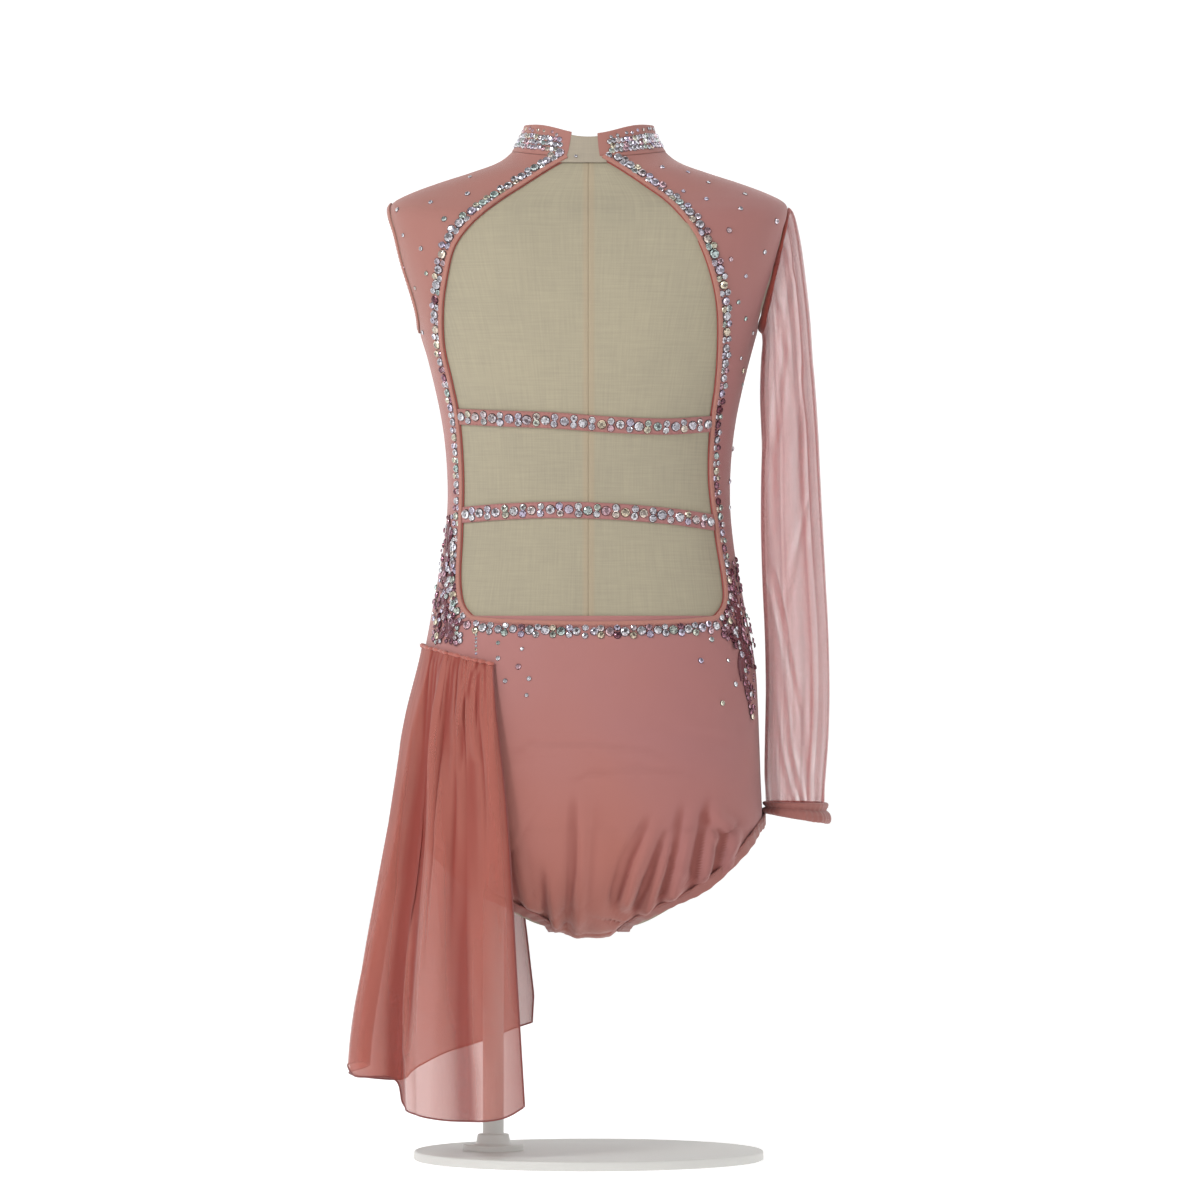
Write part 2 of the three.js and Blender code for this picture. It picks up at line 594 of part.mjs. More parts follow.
// A point of the sleeve: place counts the rows of its table, around is 0 at the outer edge.
function sleevePoint(table, place, around, out, folds) {
  const get = (key) => between(table, key, place);
  const toOuter = Math.cos(2 * Math.PI * around);
  const mixIn = (1 - toOuter) / 2;
  const down = place / (table.length - 1);
  let fold = 0;
  for (const { at, drift, out: depth, spread } of folds) {
    fold += depth * bell(around - at - drift * down, spread) * ease(0.06, 0.3, down);
  }
  const middle = (get("outer") + get("inner")) / 2;
  const half = (get("outer") - get("inner")) / 2 + out + fold * Math.abs(toOuter);
  const depth = -(get("reach") + out + fold) * Math.sin(2 * Math.PI * around);
  const height = mix(get("outerHeight"), get("innerHeight"), mixIn);
  return new THREE.Vector3(middle + half * toOuter, depth, height);
}

function sleeveTube(table, cells, rows, thick, folds) {
  const place = (row, column) => {
    const at = ((rows - row) / rows) * (table.length - 1);
    const around = -column / cells + 1;
    return {
      inner: sleevePoint(table, at, around, -thick, folds),
      outer: sleevePoint(table, at, around, 0, folds),
    };
  };
  return wall(rows + 1, cells, place, { ring: true });
}

// ---- half skirt --------------------------------------------------------------------------------------

// The skirt's plan curve at a height, from its back edge round the left to its front edge, in even steps.
function skirtCurve(height, steps) {
  const get = (key) => lookUp(SKIRT, "height", height, key);
  const middle = get("middle");
  const ring = { width: middle - get("left"), back: -get("back"), front: get("front"), power: 2.3 };
  const point = (turn) => {
    const { x, y } = onRing(ring, turn);
    return new THREE.Vector3(middle - x, y, height);
  };
  const start = reach((t) => -point(t).x, -get("backEdge"), 0, QUARTER);
  const end = reach((t) => point(t).x, get("frontEdge"), QUARTER, Math.PI);
  const fine = 160;
  const points = [];
  const lengths = [0];
  for (let i = 0; i <= fine; i += 1) {
    points.push(point(mix(start, end, i / fine)));
    if (i > 0) lengths.push(lengths[i - 1] + points[i].distanceTo(points[i - 1]));
  }
  const even = [];
  for (let step = 0, i = 1; step <= steps; step += 1) {
    const wanted = (lengths[fine] * step) / steps;
    while (i < fine && lengths[i] < wanted) i += 1;
    const t = (wanted - lengths[i - 1]) / (lengths[i] - lengths[i - 1]);
    even.push(points[i - 1].clone().lerp(points[i], t));
  }
  return even;
}

// How far the folds and gathers move the cloth out, along it (0 to 1) and down it (0 to 1).
function skirtFold(along, down) {
  let out = 0;
  for (const { top, hem, out: depth, spread, from, full } of SKIRT_FOLDS) {
    out += depth * bell(along - mix(top, hem, down), spread) * ease(from, full, down);
  }
  const gather = Math.cos(2 * Math.PI * GATHERS * along) * (1 - ease(0, GATHER_FADE, down));
  return out + GATHER_DEPTH * (1 + gather);
}

function skirt() {
  const cells = 60;
  const rows = 12;
  const seamTurn = (along) => mix(QUARTER * 0.4, Math.PI - QUARTER * 0.4, along);
  const grid = [];
  for (let row = 0; row <= rows; row += 1) {
    const down = 1 - row / rows;
    const line = [];
    for (let column = 0; column <= cells; column += 1) {
      const along = column / cells;
      const top = roundHeight(SKIRT_SEAM, seamTurn(along));
      const low = lookUp(HEM, "along", along, "height");
      const height = mix(top, low, down ** 1.15);
      const curve = skirtCurve(height, cells);
      const before = curve[Math.max(column - 1, 0)];
      const after = curve[Math.min(column + 1, cells)];
      const run = after.clone().sub(before).normalize();
      const normal = new THREE.Vector3(run.y, -run.x, 0).negate();
      line.push(curve[column].clone().addScaledVector(normal, skirtFold(along, down)));
    }
    grid.push(line);
  }
  const normalAt = (row, column) => {
    const right = grid[row][Math.min(column + 1, cells)].clone().sub(grid[row][Math.max(column - 1, 0)]);
    const up = grid[Math.min(row + 1, rows)][column].clone().sub(grid[Math.max(row - 1, 0)][column]);
    return new THREE.Vector3().crossVectors(up, right).normalize();
  };
  // Columns run from the back edge towards -X, so they are turned round for the wall.
  return wall(rows + 1, cells + 1, (row, column) => {
    const own = cells - column;
    const point = grid[row][own];
    return { inner: point, outer: point.clone().addScaledVector(normalAt(row, own), SHEER) };
  });
}

// ---- appliques ---------------------------------------------------------------------------------------

// A place on the back of the leotard, moved along the surface by a distance right and a distance up.
function besides(x, height, right, up) {
  const level = levelAt(height);
  const turn = backTurn(height, x);
  const { round } = directions(level, turn);
  return { level: levelAt(height + up), turn: turn + right / round.length() };
}

function leaf({ x, height, points, length, width }) {
  const rows = 4;
  const angle = THREE.MathUtils.degToRad(points);
  return wall(rows + 1, 3, (row, column) => {
    const along = row / rows;
    const half = 0.5 * width * Math.max(Math.sin(Math.PI * along ** 0.8), 0.12);
    const side = (column - 1) * half;
    const right = Math.sin(angle) * length * along + Math.cos(angle) * side;
    const up = Math.cos(angle) * length * along - Math.sin(angle) * side;
    const raised = column === 1 ? TRIM * 1.5 : TRIM;
    return layer(besides(x, height, right, up), ON_CLOTH + LACE_LIFT, raised);
  });
}

function stem(route) {
  const path = route.map(({ x, height }) => besides(x, height, STEM_WIDTH / 2, 0));
  return strip(path, -STEM_WIDTH, { inner: ON_CLOTH + LACE_LIFT });
}

function applique(leaves, route) {
  let joined = solid(stem(route));
  for (const one of leaves) joined = joined.add(solid(leaf(one)));
  return geometryOf(joined);
}

// ---- dress form and stand ----------------------------------------------------------------------------

function formTorso() {
  const columns = 34;
  const panelOnly = [...BACK_ONLY_ROWS, 240, 250, 677, 760];
  const heights = [...ROWS.filter((height) => !panelOnly.includes(height)), FORM_TOP];
  const point = (height, column) => lifted(levelAt(height), (2 * Math.PI * column) / columns, -FORM_INSET);
  const triangles = [];
  const top = new THREE.Vector3(0, 4, FORM_TOP);
  const foot = new THREE.Vector3(0, 0, CROTCH);
  for (let column = 0; column < columns; column += 1) {
    for (let row = 0; row < heights.length - 1; row += 1) {
      const [low, high] = [heights[row], heights[row + 1]];
      const [a, b] = [point(low, column), point(low, column + 1)];
      const [c, d] = [point(high, column + 1), point(high, column)];
      triangles.push([a, b, c], [a, c, d]);
    }
    triangles.push([point(FORM_TOP, column), point(FORM_TOP, column + 1), top]);
    triangles.push([point(CROTCH, column + 1), point(CROTCH, column), foot]);
  }
  let body = solid(fromTriangles(triangles));
  for (const side of [-1, 1]) {
    const up = new THREE.Vector3(-side * LEG_CUT.rise, -LEG_CUT.tilt, 1).normalize();
    const block = new THREE.BoxGeometry(400, 400, 400);
    block.translate(0, 0, -200);
    block.applyQuaternion(new THREE.Quaternion().setFromUnitVectors(new THREE.Vector3(0, 0, 1), up));
    block.translate(side * LEG_CUT.x, 0, LEG_CUT.height);
    body = body.subtract(solid(block));
  }
  const socketTop = rodTop() + ROD.fit;
  const socket = new THREE.CylinderGeometry(ROD.radius + ROD.fit, ROD.radius + ROD.fit, socketTop, 32);
  socket.rotateX(QUARTER);
  socket.translate(ROD.x, 0, socketTop / 2);
  const pieces = body.subtract(solid(socket)).decompose();
  return geometryOf(pieces.reduce((a, b) => (a.volume() > b.volume() ? a : b)));
}

// The rod's upper end, above the hem, inside the form.
function rodTop() {
  return LEG_CUT.height + LEG_CUT.rise * (Math.abs(ROD.x) - LEG_CUT.x) + ROD.into;
}

// A closed lathe from radii and heights, turned so that its axis is Z.
function turned(profile, segments) {
  const points = profile.map(([radius, height]) => new THREE.Vector2(radius, height));
  const geometry = new THREE.LatheGeometry(points, segments);
  geometry.rotateX(QUARTER);
  return geometry;
}

function formRod() {
  const top = rodTop() + HEM_TO_FLOOR - PLATE.thick;
  const profile = [
    [0, 0],
    [FLANGE.radius, 0],
    [FLANGE.radius, FLANGE.thick - 1],
    [FLANGE.radius - 1, FLANGE.thick],
    [FLANGE.boss, FLANGE.thick],
    [FLANGE.boss - 2, FLANGE.bossHeight],
    [ROD.radius, FLANGE.bossHeight],
    [ROD.radius, top - 1],
    [ROD.radius - 1, top],
    [0, top],
  ];
  return turned(profile, 24);
}

function formBase() {
  const profile = [
    [0, 0],
    [PLATE.radius, 0],
    [PLATE.radius, PLATE.thick - PLATE.bevel],
    [PLATE.radius - PLATE.bevel, PLATE.thick],
    [0, PLATE.thick],
  ];
  return turned(profile, 48);
}

// ---- the whole ---------------------------------------------------------------------------------------

const finish = (color, roughness, metalness = 0) =>
  new THREE.MeshStandardMaterial({ color, roughness, metalness });

const KNIT = { color: "#b07c72", roughness: 0.6 };
const BAND = { color: "#a56f66", roughness: 0.7 };
const MESH = { color: "#c4a29e", roughness: 0.8 };
const CHIFFON = { color: "#a8675d", roughness: 0.75 };
const LACE = { color: "#6b3038", roughness: 0.55 };
const TAPE = { color: "#b3a28d", roughness: 0.85 };
const MUSLIN = { color: "#b4ab97", roughness: 0.9 };
const STEEL = { color: "#e6e4e0", roughness: 0.4, metalness: 0.1 };

const dress = new THREE.Group();
dress.position.z = HEM_TO_FLOOR;
const stand = new THREE.Group();

function add(group, name, geometry, { color, roughness, metalness }) {
  const mesh = new THREE.Mesh(geometry, finish(color, roughness, metalness));
  mesh.name = name;
  group.add(mesh);
  return mesh;
}

add(dress, "front_body", frontBody(), KNIT);
add(dress, "back_body", backBody(), KNIT);
add(dress, "opening_binding", openingBinding(), BAND);
add(dress, "strap_upper", strap(STRAP_UPPER), KNIT);
add(dress, "strap_lower", strap(STRAP_LOWER), KNIT);
add(dress, "leg_band_left", legBand(-1), BAND);
add(dress, "leg_band_right", legBand(1), BAND);
add(dress, "armhole_binding", armholeBinding(), BAND);
add(dress, "collar", collar(), KNIT);
add(dress, "collar_tab", collarTab(), TAPE);
add(dress, "sleeve", sleeveTube(SLEEVE, 22, 15, SHEER, SLEEVE_FOLDS), MESH);
add(dress, "cuff", sleeveTube(CUFF, 22, 2, CUFF_WALL, []), BAND);
add(dress, "skirt_drape", skirt(), CHIFFON);
add(dress, "applique_left", applique(LEAVES_LEFT, STEM_LEFT), LACE);
add(dress, "applique_right", applique(LEAVES_RIGHT, STEM_RIGHT), LACE);
add(dress, "form_torso", formTorso(), MUSLIN);
add(stand, "form_rod", formRod(), STEEL).position.set(ROD.x, 0, PLATE.thick);
add(stand, "form_base", formBase(), STEEL);

const root = new THREE.Group();
root.add(dress, stand);

export default root;
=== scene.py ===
"""A lyrical dance dress on a limbless dress form: cloth, crystals, beaded lace, form and stand.

Tables and shapes are in millimetres. Heights in the tables are above the lowest point of the half skirt's
hem. Meshes are in metres, with the dress's back towards -Y and its sleeve on +X.
"""

import math

import bmesh
import bpy
import numpy as np
from bpy.props import FloatProperty, FloatVectorProperty, IntProperty, PointerProperty
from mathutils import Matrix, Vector


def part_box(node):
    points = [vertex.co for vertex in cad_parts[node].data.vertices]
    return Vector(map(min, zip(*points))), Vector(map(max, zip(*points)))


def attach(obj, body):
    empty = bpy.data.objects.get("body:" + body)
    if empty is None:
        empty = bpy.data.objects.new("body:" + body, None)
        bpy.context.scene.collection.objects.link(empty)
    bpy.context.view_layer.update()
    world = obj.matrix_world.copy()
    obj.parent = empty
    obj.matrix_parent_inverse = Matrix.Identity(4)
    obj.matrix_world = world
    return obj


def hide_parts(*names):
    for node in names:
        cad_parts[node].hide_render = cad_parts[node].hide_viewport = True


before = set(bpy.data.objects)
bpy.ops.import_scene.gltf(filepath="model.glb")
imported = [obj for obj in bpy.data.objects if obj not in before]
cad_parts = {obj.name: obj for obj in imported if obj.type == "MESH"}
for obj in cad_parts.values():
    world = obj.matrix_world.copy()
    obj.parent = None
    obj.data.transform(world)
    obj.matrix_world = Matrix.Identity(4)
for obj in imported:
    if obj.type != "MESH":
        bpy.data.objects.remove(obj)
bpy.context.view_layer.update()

bl_info = {
    "name": "Lyrical Dance Dress",
    "version": (1, 0, 0),
    "blender": (4, 5, 0),
    "location": "View3D > Sidebar > Dress",
    "description": "Builds an open-backed lyrical dance dress on its dress form",
    "category": "Object",
}

MM = 0.001
QUARTER = math.pi / 2
TURN = 2 * math.pi
HEM_TO_FLOOR = 40.0  # from the half skirt's lowest point down to the floor


# ---- tables with smooth curves through their rows --------


class Table:
    """Rows of numbers under named columns, read along a smooth curve through the rows."""

    def __init__(self, names, rows):
        self.names = names.split()
        self.rows = np.array(rows, float)
        self.places = np.linspace(0, len(rows) - 1, 300 * len(rows))
        self.found = {}

    def at(self, name, place):
        column = self.rows[:, self.names.index(name)]
        last = len(column) - 1
        place = np.clip(place, 0, last)
        i = np.minimum(np.floor(place).astype(int), last - 1)
        t = place - i
        a, b, c, d = (column[np.clip(i + k, 0, last)] for k in (-1, 0, 1, 2))
        return b + 0.5 * t * (c - a + t * (2 * a - 5 * b + 4 * c - d + t * (3 * (b - c) + d - a)))

    def place(self, name, value):
        if name not in self.found:
            self.found[name] = self.at(name, self.places)
        return np.interp(value, self.found[name], self.places)

    def look_up(self, name, value, wanted):
        return self.at(wanted, self.place(name, value))


# The general figure: a ring at each height. leg_back and leg_front are where the leg openings' edges lie,
# in degrees from the middle of the back and of the front.
FIGURE = Table(
    "height width back front power leg_back leg_front",
    [
        (160, 146, 0.15, 0.15, 2.3, 12.6, 12.6), (162, 146, 22, 20, 2.3, 12.6, 12.6),
        (167, 146, 43, 37, 2.3, 14.8, 13.6), (177, 146, 64, 53, 2.3, 21.6, 16.4),
        (192, 146, 83, 67, 2.4, 35, 22), (212, 146, 98, 79, 2.4, 48.6, 31),
        (233, 146.3, 106, 86, 2.4, 62, 45), (244, 146.3, 109, 89, 2.4, 73, 60),
    ]
    + [
        (*row, 90, 90)
        for row in (
            (254, 146.3, 111, 91, 2.4), (284, 145, 113, 95, 2.4), (320, 143.8, 113, 98, 2.4),
            (352, 142.6, 109, 99, 2.4), (384, 140.4, 102, 98, 2.3), (420, 134, 92, 94, 2.3),
            (450, 128.4, 84, 90, 2.3), (484, 122.4, 78, 87, 2.3), (520, 119, 75, 86, 2.3),
            (556, 119.6, 78, 89, 2.3), (592, 123.6, 84, 96, 2.3), (630, 131.6, 91, 106, 2.4),
            (670, 142.2, 97, 114, 2.5), (700, 151, 100, 115, 2.7), (728, 159.4, 99, 108, 2.9),
            (752, 165.6, 93, 96, 2.9), (768, 169.4, 85, 84, 2.8), (778, 167, 76, 75, 2.5),
            (786, 153, 70, 69, 2.3), (795, 129, 66, 65, 2.2), (804, 101, 62, 63, 2.2),
            (812, 79, 58, 61, 2.1), (820, 67, 54, 60, 2.1), (830, 59, 51, 59, 2.1),
            (842, 53.8, 48.5, 58, 2.1), (856, 51.6, 47, 57, 2.1),
        )
    ],
)
# The open back: the x of its left and right edges, from its lower corners up to the collar.
OPEN_BACK = Table(
    "height left right",
    [
        (426, -98, 106), (434, -104.5, 112), (445, -107.5, 114), (464, -108.5, 112), (496, -107, 107),
        (544, -106, 101.5), (592, -109, 103), (624, -115, 107), (656, -122, 109), (688, -123, 108.5),
        (715, -119.5, 103.5), (740, -113, 94.5), (760, -98, 82.5), (778, -76, 66), (791, -57, 49),
        (804, -37, 30), (815.5, -17.6, 11.2),
    ],
)
OPEN_BACK_FOOT = 426.0
OPEN_BACK_TOP = 815.5
OPEN_BACK_SAG = 5.0  # how far its foot hangs down in the middle

LEG_TOP = 254.0
UNDERARM = 670.0
SHOULDER_TIP = 778.0
NECK_ROW = 816.0
TILT_FROM = 770.0  # from here up, the panels' rows bend towards the neck seam
FORM_TOP = 827.0
ARMHOLE_HALF = 37.0  # half the armhole's width, front to back
# Heights of the neck seam, the collar's top edge and the half skirt's seam round the figure.
NECK_SEAM = {"back": 816, "side": 822.5, "front": 804}
COLLAR_TOP = {"back": 837, "side": 846.5, "front": 831}
SKIRT_SEAM = {"back": 378, "side": 401, "front": 384}
COLLAR_ENDS = (-14.4, 7.2)  # the x of the collar's two ends
# Heights of the straps' middle lines, in even steps from left to right.
STRAP_UPPER = (596.5, 594.5, 592.5, 589, 587.5, 590)
STRAP_LOWER = (512.5, 515, 516.5, 515, 511, 506)
# A plane that cuts the form off at a leg, and the x of the stand's rod.
LEG_CUT = {"x": 37.0, "height": 164.5, "rise": 0.8545, "tilt": 0.24}
ROD_X = -82.0

# The sleeve and its cuff, ring by ring: the x and height of the ring away from the body and next to it, and
# its reach to the front and back.
SLEEVE = Table(
    "outer outer_height inner inner_height reach",
    [
        (171.6, 776.4, 146.6, 672.4, 35.4), (176, 771, 148.8, 668.4, 40), (180, 751, 149.4, 660, 45),
        (184, 722, 148.8, 648, 48), (188, 688, 148, 632, 49), (190.5, 656, 147.6, 614, 48),
        (193.5, 620, 148.4, 592, 46.5), (196, 584, 149.4, 568, 45), (198, 544, 148.6, 540, 44),
        (200.4, 500, 148.4, 500, 43), (203, 455, 149.6, 455, 42), (205.4, 410, 151.6, 410, 41),
        (206.4, 365, 152.4, 365, 39.5), (205.4, 325, 151.6, 325, 38), (203, 292, 151.4, 292, 36.5),
        (201.6, 266.3, 152.6, 267.3, 35),
    ],
)
CUFF = Table(
    "outer outer_height inner inner_height reach",
    [
        (201.8, 266.4, 152.4, 267.4, 35.2), (203, 258, 152, 262, 35.8), (205.6, 248, 151.8, 257, 37),
    ],
)
# Folds down the sleeve: where round it (turns from the outer edge), how far that drifts on the way down,
# how far the cloth moves out, half its width in turns, and from where to where down the sleeve it is.
SLEEVE_FOLDS = [
    (0.06, 0.02, 1.6, 0.018, 0.04, 0.9), (0.11, 0.035, -2.4, 0.016, 0.02, 0.75),
    (0.15, 0.03, 2.6, 0.022, 0.1, 1.0), (0.2, -0.02, -2.2, 0.014, 0.05, 0.62),
    (0.25, -0.04, -3.0, 0.02, 0.3, 1.0), (0.3, 0.01, 2.0, 0.02, 0.02, 0.9),
    (0.36, 0.02, 2.4, 0.03, 0.2, 1.0), (0.41, -0.03, -2.2, 0.016, 0.04, 0.7),
    (0.46, 0.0, 1.2, 0.02, 0.1, 0.9), (0.55, 0.01, -1.2, 0.02, 0.05, 0.6),
    (0.62, -0.02, 2.4, 0.032, 0.1, 1.0), (0.7, 0.03, -2.6, 0.018, 0.06, 0.9),
    (0.76, 0.02, 1.8, 0.02, 0.3, 1.0), (0.82, -0.02, -2.2, 0.016, 0.02, 0.7),
    (0.87, -0.03, 2.4, 0.028, 0.15, 1.0), (0.94, 0.01, -1.6, 0.016, 0.1, 0.85),
]

# The half skirt at each height: the middle of its plan curve, its reach left, back and front, and the x of
# its free edges.
SKIRT = Table(
    "height middle left back front back_edge front_edge",
    [
        (0, -52, -204, -119, 108, -53.6, -48), (64, -50, -199.5, -121, 110, -57.6, -46),
        (128, -46, -189, -124, 112, -61.5, -52), (192, -40, -176.5, -126, 113, -65, -60),
        (256, -30, -164.5, -126, 112, -69, -69), (320, -14, -153.5, -122, 108.5, -75, -78),
        (352, -6, -149, -116, 105, -78, -83), (384, -1, -143.6, -105.4, 101.4, -80, -86),
        (404, 0, -139.8, -99.2, 99, -81, -86),
    ],
)
# The hem's height along the cloth, from the back edge (0) to the front edge (1).
HEM = Table(
    "along height",
    [
        (0, 12), (0.05, 2), (0.14, 0), (0.24, 7), (0.29, 13), (0.31, 33), (0.38, 35), (0.46, 45),
        (0.6, 30), (0.72, 26), (0.84, 48), (1, 72),
    ],
)
# Folds: where along the cloth at the seam and at the hem, how far out, half the width along the cloth,
# and from where to where down the cloth it grows.
SKIRT_FOLDS = [
    (0.0, 0.0, -7, 0.04, 0.1, 0.9), (0.06, 0.07, 2.5, 0.022, 0.02, 0.5),
    (0.1, 0.12, -7, 0.028, 0.02, 0.3), (0.16, 0.2, 5, 0.03, 0.02, 0.5),
    (0.33, 0.29, -32, 0.034, 0.05, 0.85), (0.34, 0.39, 9, 0.045, 0.05, 0.8),
    (0.45, 0.5, -24, 0.04, 0.08, 0.9), (0.55, 0.6, 10, 0.045, 0.05, 0.8),
    (0.66, 0.7, -22, 0.042, 0.08, 0.9), (0.78, 0.8, 8, 0.05, 0.05, 0.8), (0.9, 0.9, -14, 0.04, 0.1, 0.9),
]

# Leaves of the lace on each side: the x and height of the root, the way it points (degrees, 0 up and 90 to
# the right), its length and its width.
LEAVES_LEFT = [
    (-118, 490, -4, 22, 6.5), (-118.5, 474, 12, 20, 6), (-119, 466, -28, 22, 7), (-120, 450, -34, 24, 8),
    (-120, 444, 8, 24, 7), (-120, 428, -30, 24, 8), (-120, 418, 84, 22, 7), (-119, 416, 128, 22, 7),
    (-119, 416, -140, 18, 7),
]
STEM_LEFT = [(-118, 496), (-118.5, 474), (-120, 448), (-120, 428), (-118.5, 412)]
LEAVES_RIGHT = [
    (122, 440, 4, 26, 8), (126, 424, -24, 24, 8), (126, 412, 16, 28, 9), (128, 404, -62, 26, 8),
    (128, 404, 150, 26, 9), (127, 396, -168, 26, 8), (130, 376, 170, 26, 7),
]
STEM_RIGHT = [(122, 452), (126, 424), (128, 400), (130, 376), (134, 352)]
# Clusters of stones over the lace: at a height, from one x to another.
CLUSTER_LEFT = [
    (402, -131, -106), (416, -130, -108), (436, -129, -112), (462, -125.5, -113), (488, -122, -113),
    (512, -118, -114),
]
CLUSTER_RIGHT = [
    (338, 135, 138.5), (358, 131, 138.5), (372, 129, 138.5), (388, 130, 138.5), (400, 122, 138.5),
    (410, 112, 138), (424, 113, 134), (444, 118, 128), (476, 119, 123),
]

# Creases of the seat, the front, the sleeve and the half skirt's back: the (x, height) places that each runs
# through, starting where it is deepest, how far out it moves the cloth, and half its width.
SEAT_FOLDS = [
    ([(-18, 170), (-14, 210), (-12.8, 262)], -5.5, 5), ([(-36, 168), (-37.6, 205)], -5.5, 4),
    ([(24, 194), (33, 222), (45, 246)], -10.0, 5), ([(42, 186), (53, 212), (62, 238)], -8.0, 4.5),
    ([(8, 166), (10, 236)], 1.8, 9), ([(62, 196), (70, 224), (76, 256)], -6.5, 5),
    ([(88, 208), (98, 262)], -6.5, 5), ([(106, 216), (112, 240), (100, 252)], -7.0, 5),
    ([(-60, 186), (-70, 246)], -4.0, 5), ([(-90, 208), (-104, 262)], -3.8, 5),
    ([(-44, 319), (2, 320), (46, 315)], -2.6, 3), ([(4, 295), (40, 299), (74, 296)], -2.2, 3),
    ([(112, 320), (60, 330)], -0.9, 5), ([(-80, 300), (-30, 305)], -0.8, 5),
]
FRONT_FOLDS = [
    ([(-14, 168), (-10, 230)], -2.4, 5), ([(24, 168), (22, 236)], -2.8, 4.5),
    ([(44, 178), (58, 240)], -2.6, 5), ([(-46, 180), (-60, 236)], -2.6, 5),
    ([(72, 206), (92, 262)], -2.2, 6), ([(-76, 210), (-96, 262)], -2.2, 6),
    ([(-60, 322), (30, 318)], -1.0, 5), ([(-30, 520), (70, 512)], -1.0, 5),
    ([(-90, 500), (-10, 508)], -0.9, 5), ([(126, 676), (96, 640)], -1.4, 6),
    ([(-128, 672), (-98, 636)], -1.4, 6),
]
SLEEVE_BACK_FOLDS = [
    ([(168, 652), (164, 610), (159.2, 570), (160, 505)], -3.4, 3),
    ([(159.2, 456), (168, 412), (180, 350)], -3.8, 2.2),
    ([(186, 640), (180, 560), (184, 470)], -1.8, 3.5), ([(182, 268), (172, 310), (166, 370)], -3.6, 2.2),
    ([(174, 268), (165, 300), (160, 345)], -3.0, 2.4), ([(174, 720), (168, 670), (160, 632)], -2.2, 3),
]
SLEEVE_FRONT_FOLDS = [
    ([(190, 520), (170, 430)], -2.2, 3), ([(165, 690), (176, 620)], -2.4, 3),
    ([(160, 560), (163, 470)], -2.2, 3.5), ([(188, 300), (182, 370)], -2.0, 3),
]
DRAPE_FOLDS = [
    ([(-88.8, 386), (-92, 373), (-93.6, 340)], -4.5, 2.0),
    ([(-92, 390), (-99, 371), (-103.2, 350), (-107.2, 300)], -6.5, 2.4),
    ([(-112, 392), (-115.2, 371), (-117.6, 340), (-118.4, 246)], -15.0, 5.5),
    ([(-117.6, 394), (-120, 380)], -3.5, 1.8), ([(-120.8, 396), (-125.6, 384), (-128, 360)], -5.5, 2.2),
    ([(-131, 396), (-136, 380), (-139, 340)], -5.0, 3),
    ([(-127, 396), (-134, 352), (-144, 264), (-151, 184), (-156, 60)], -24.0, 6.5),
    ([(-96, 300), (-92, 200), (-84, 60)], -4.5, 7), ([(-172, 200), (-182, 110), (-190, 20)], -5.0, 8),
    ([(-74, 330), (-68, 230), (-62, 90)], -2.0, 3),
]


# Single stones on the back: x and height.
YOKE_STONES = [
    (-100.7, 799), (-102.7, 783.7), (-133.8, 776.6), (-161.5, 772), (-121.9, 762.6), (-156, 751.1),
    (-140.9, 738.8), (-124.7, 741.1), (-155.5, 724.7), (-136.3, 718.2), (-145.8, 706.7), (-139.5, 669.6),
    (62, 807), (84, 803), (101.4, 794), (80.1, 786), (132.5, 784), (99.6, 779.1), (128.5, 771.1),
    (158, 762.6), (118.4, 753.1), (147.8, 736.3), (119.6, 729), (131.9, 715.7), (125.6, 693.8),
    (131.7, 680.3), (138, 668.9), (127.8, 647), (129.6, 636.7), (129, 625), (121, 570), (118, 541.7),
    (118, 519),
]
HIP_STONES = [
    (-76, 403), (-56, 398), (-76, 390), (-59, 383), (-70, 371), (-50, 373), (-52, 359), (94, 388),
    (103, 406), (117, 388), (123, 368), (112, 352),
]


# ---- number helpers --------


def mix(a, b, t):
    return a + (b - a) * t


def ease(low, high, value):
    t = np.clip((value - low) / (high - low), 0, 1)
    return t * t * (3 - 2 * t)


def bell(distance, spread):
    return np.exp(-((distance / spread) ** 2))


def unit(vectors):
    return vectors / np.maximum(np.linalg.norm(vectors, axis=-1, keepdims=True), 1e-9)


def solve(rising, wanted, low, high):
    """Where a rising function of an array reaches the wanted values."""
    wanted = np.asarray(wanted, float)
    start, end = np.full(wanted.shape, float(low)), np.full(wanted.shape, float(high))
    for _ in range(40):
        half = (start + end) / 2
        less = rising(half) < wanted
        start, end = np.where(less, half, start), np.where(less, end, half)
    return (start + end) / 2


def relief(out, reach, span):
    """How much each place of a grid stands out (1) or in (-1) among its neighbours in the row."""
    kernel = np.hanning(2 * reach + 3)[1:-1]
    kernel /= kernel.sum()
    smooth = np.array([np.convolve(np.pad(row, reach, "edge"), kernel, "valid") for row in out])
    return np.clip((out - smooth) / span, -1, 1)


def lengths_along(points, axis=0):
    """Distances along a line of points, or along an axis of a grid as a mean over its other axis."""
    steps = np.linalg.norm(np.diff(points, axis=axis), axis=-1)
    steps = steps if steps.ndim == 1 else steps.mean(1 - axis)
    return np.concatenate([[0], np.cumsum(steps)])


# ---- the figure's surface --------


def on_ring(width, back, front, power, turn):
    """x and y on a closed curve: turn 0 is the back (-Y), a quarter is +X, half a turn the front."""
    across, along = np.sin(turn), np.cos(turn)
    scale = (np.abs(across) ** power + np.abs(along) ** power) ** (-1 / power)
    return width * across * scale, np.where(along > 0, -back, -front) * along * scale


def figure(level, turn):
    level, turn = np.broadcast_arrays(np.asarray(level, float), np.asarray(turn, float))
    ring = [FIGURE.at(name, level) for name in ("width", "back", "front", "power")]
    x, y = on_ring(*ring, turn)
    return np.stack([x, y, FIGURE.at("height", level)], -1)


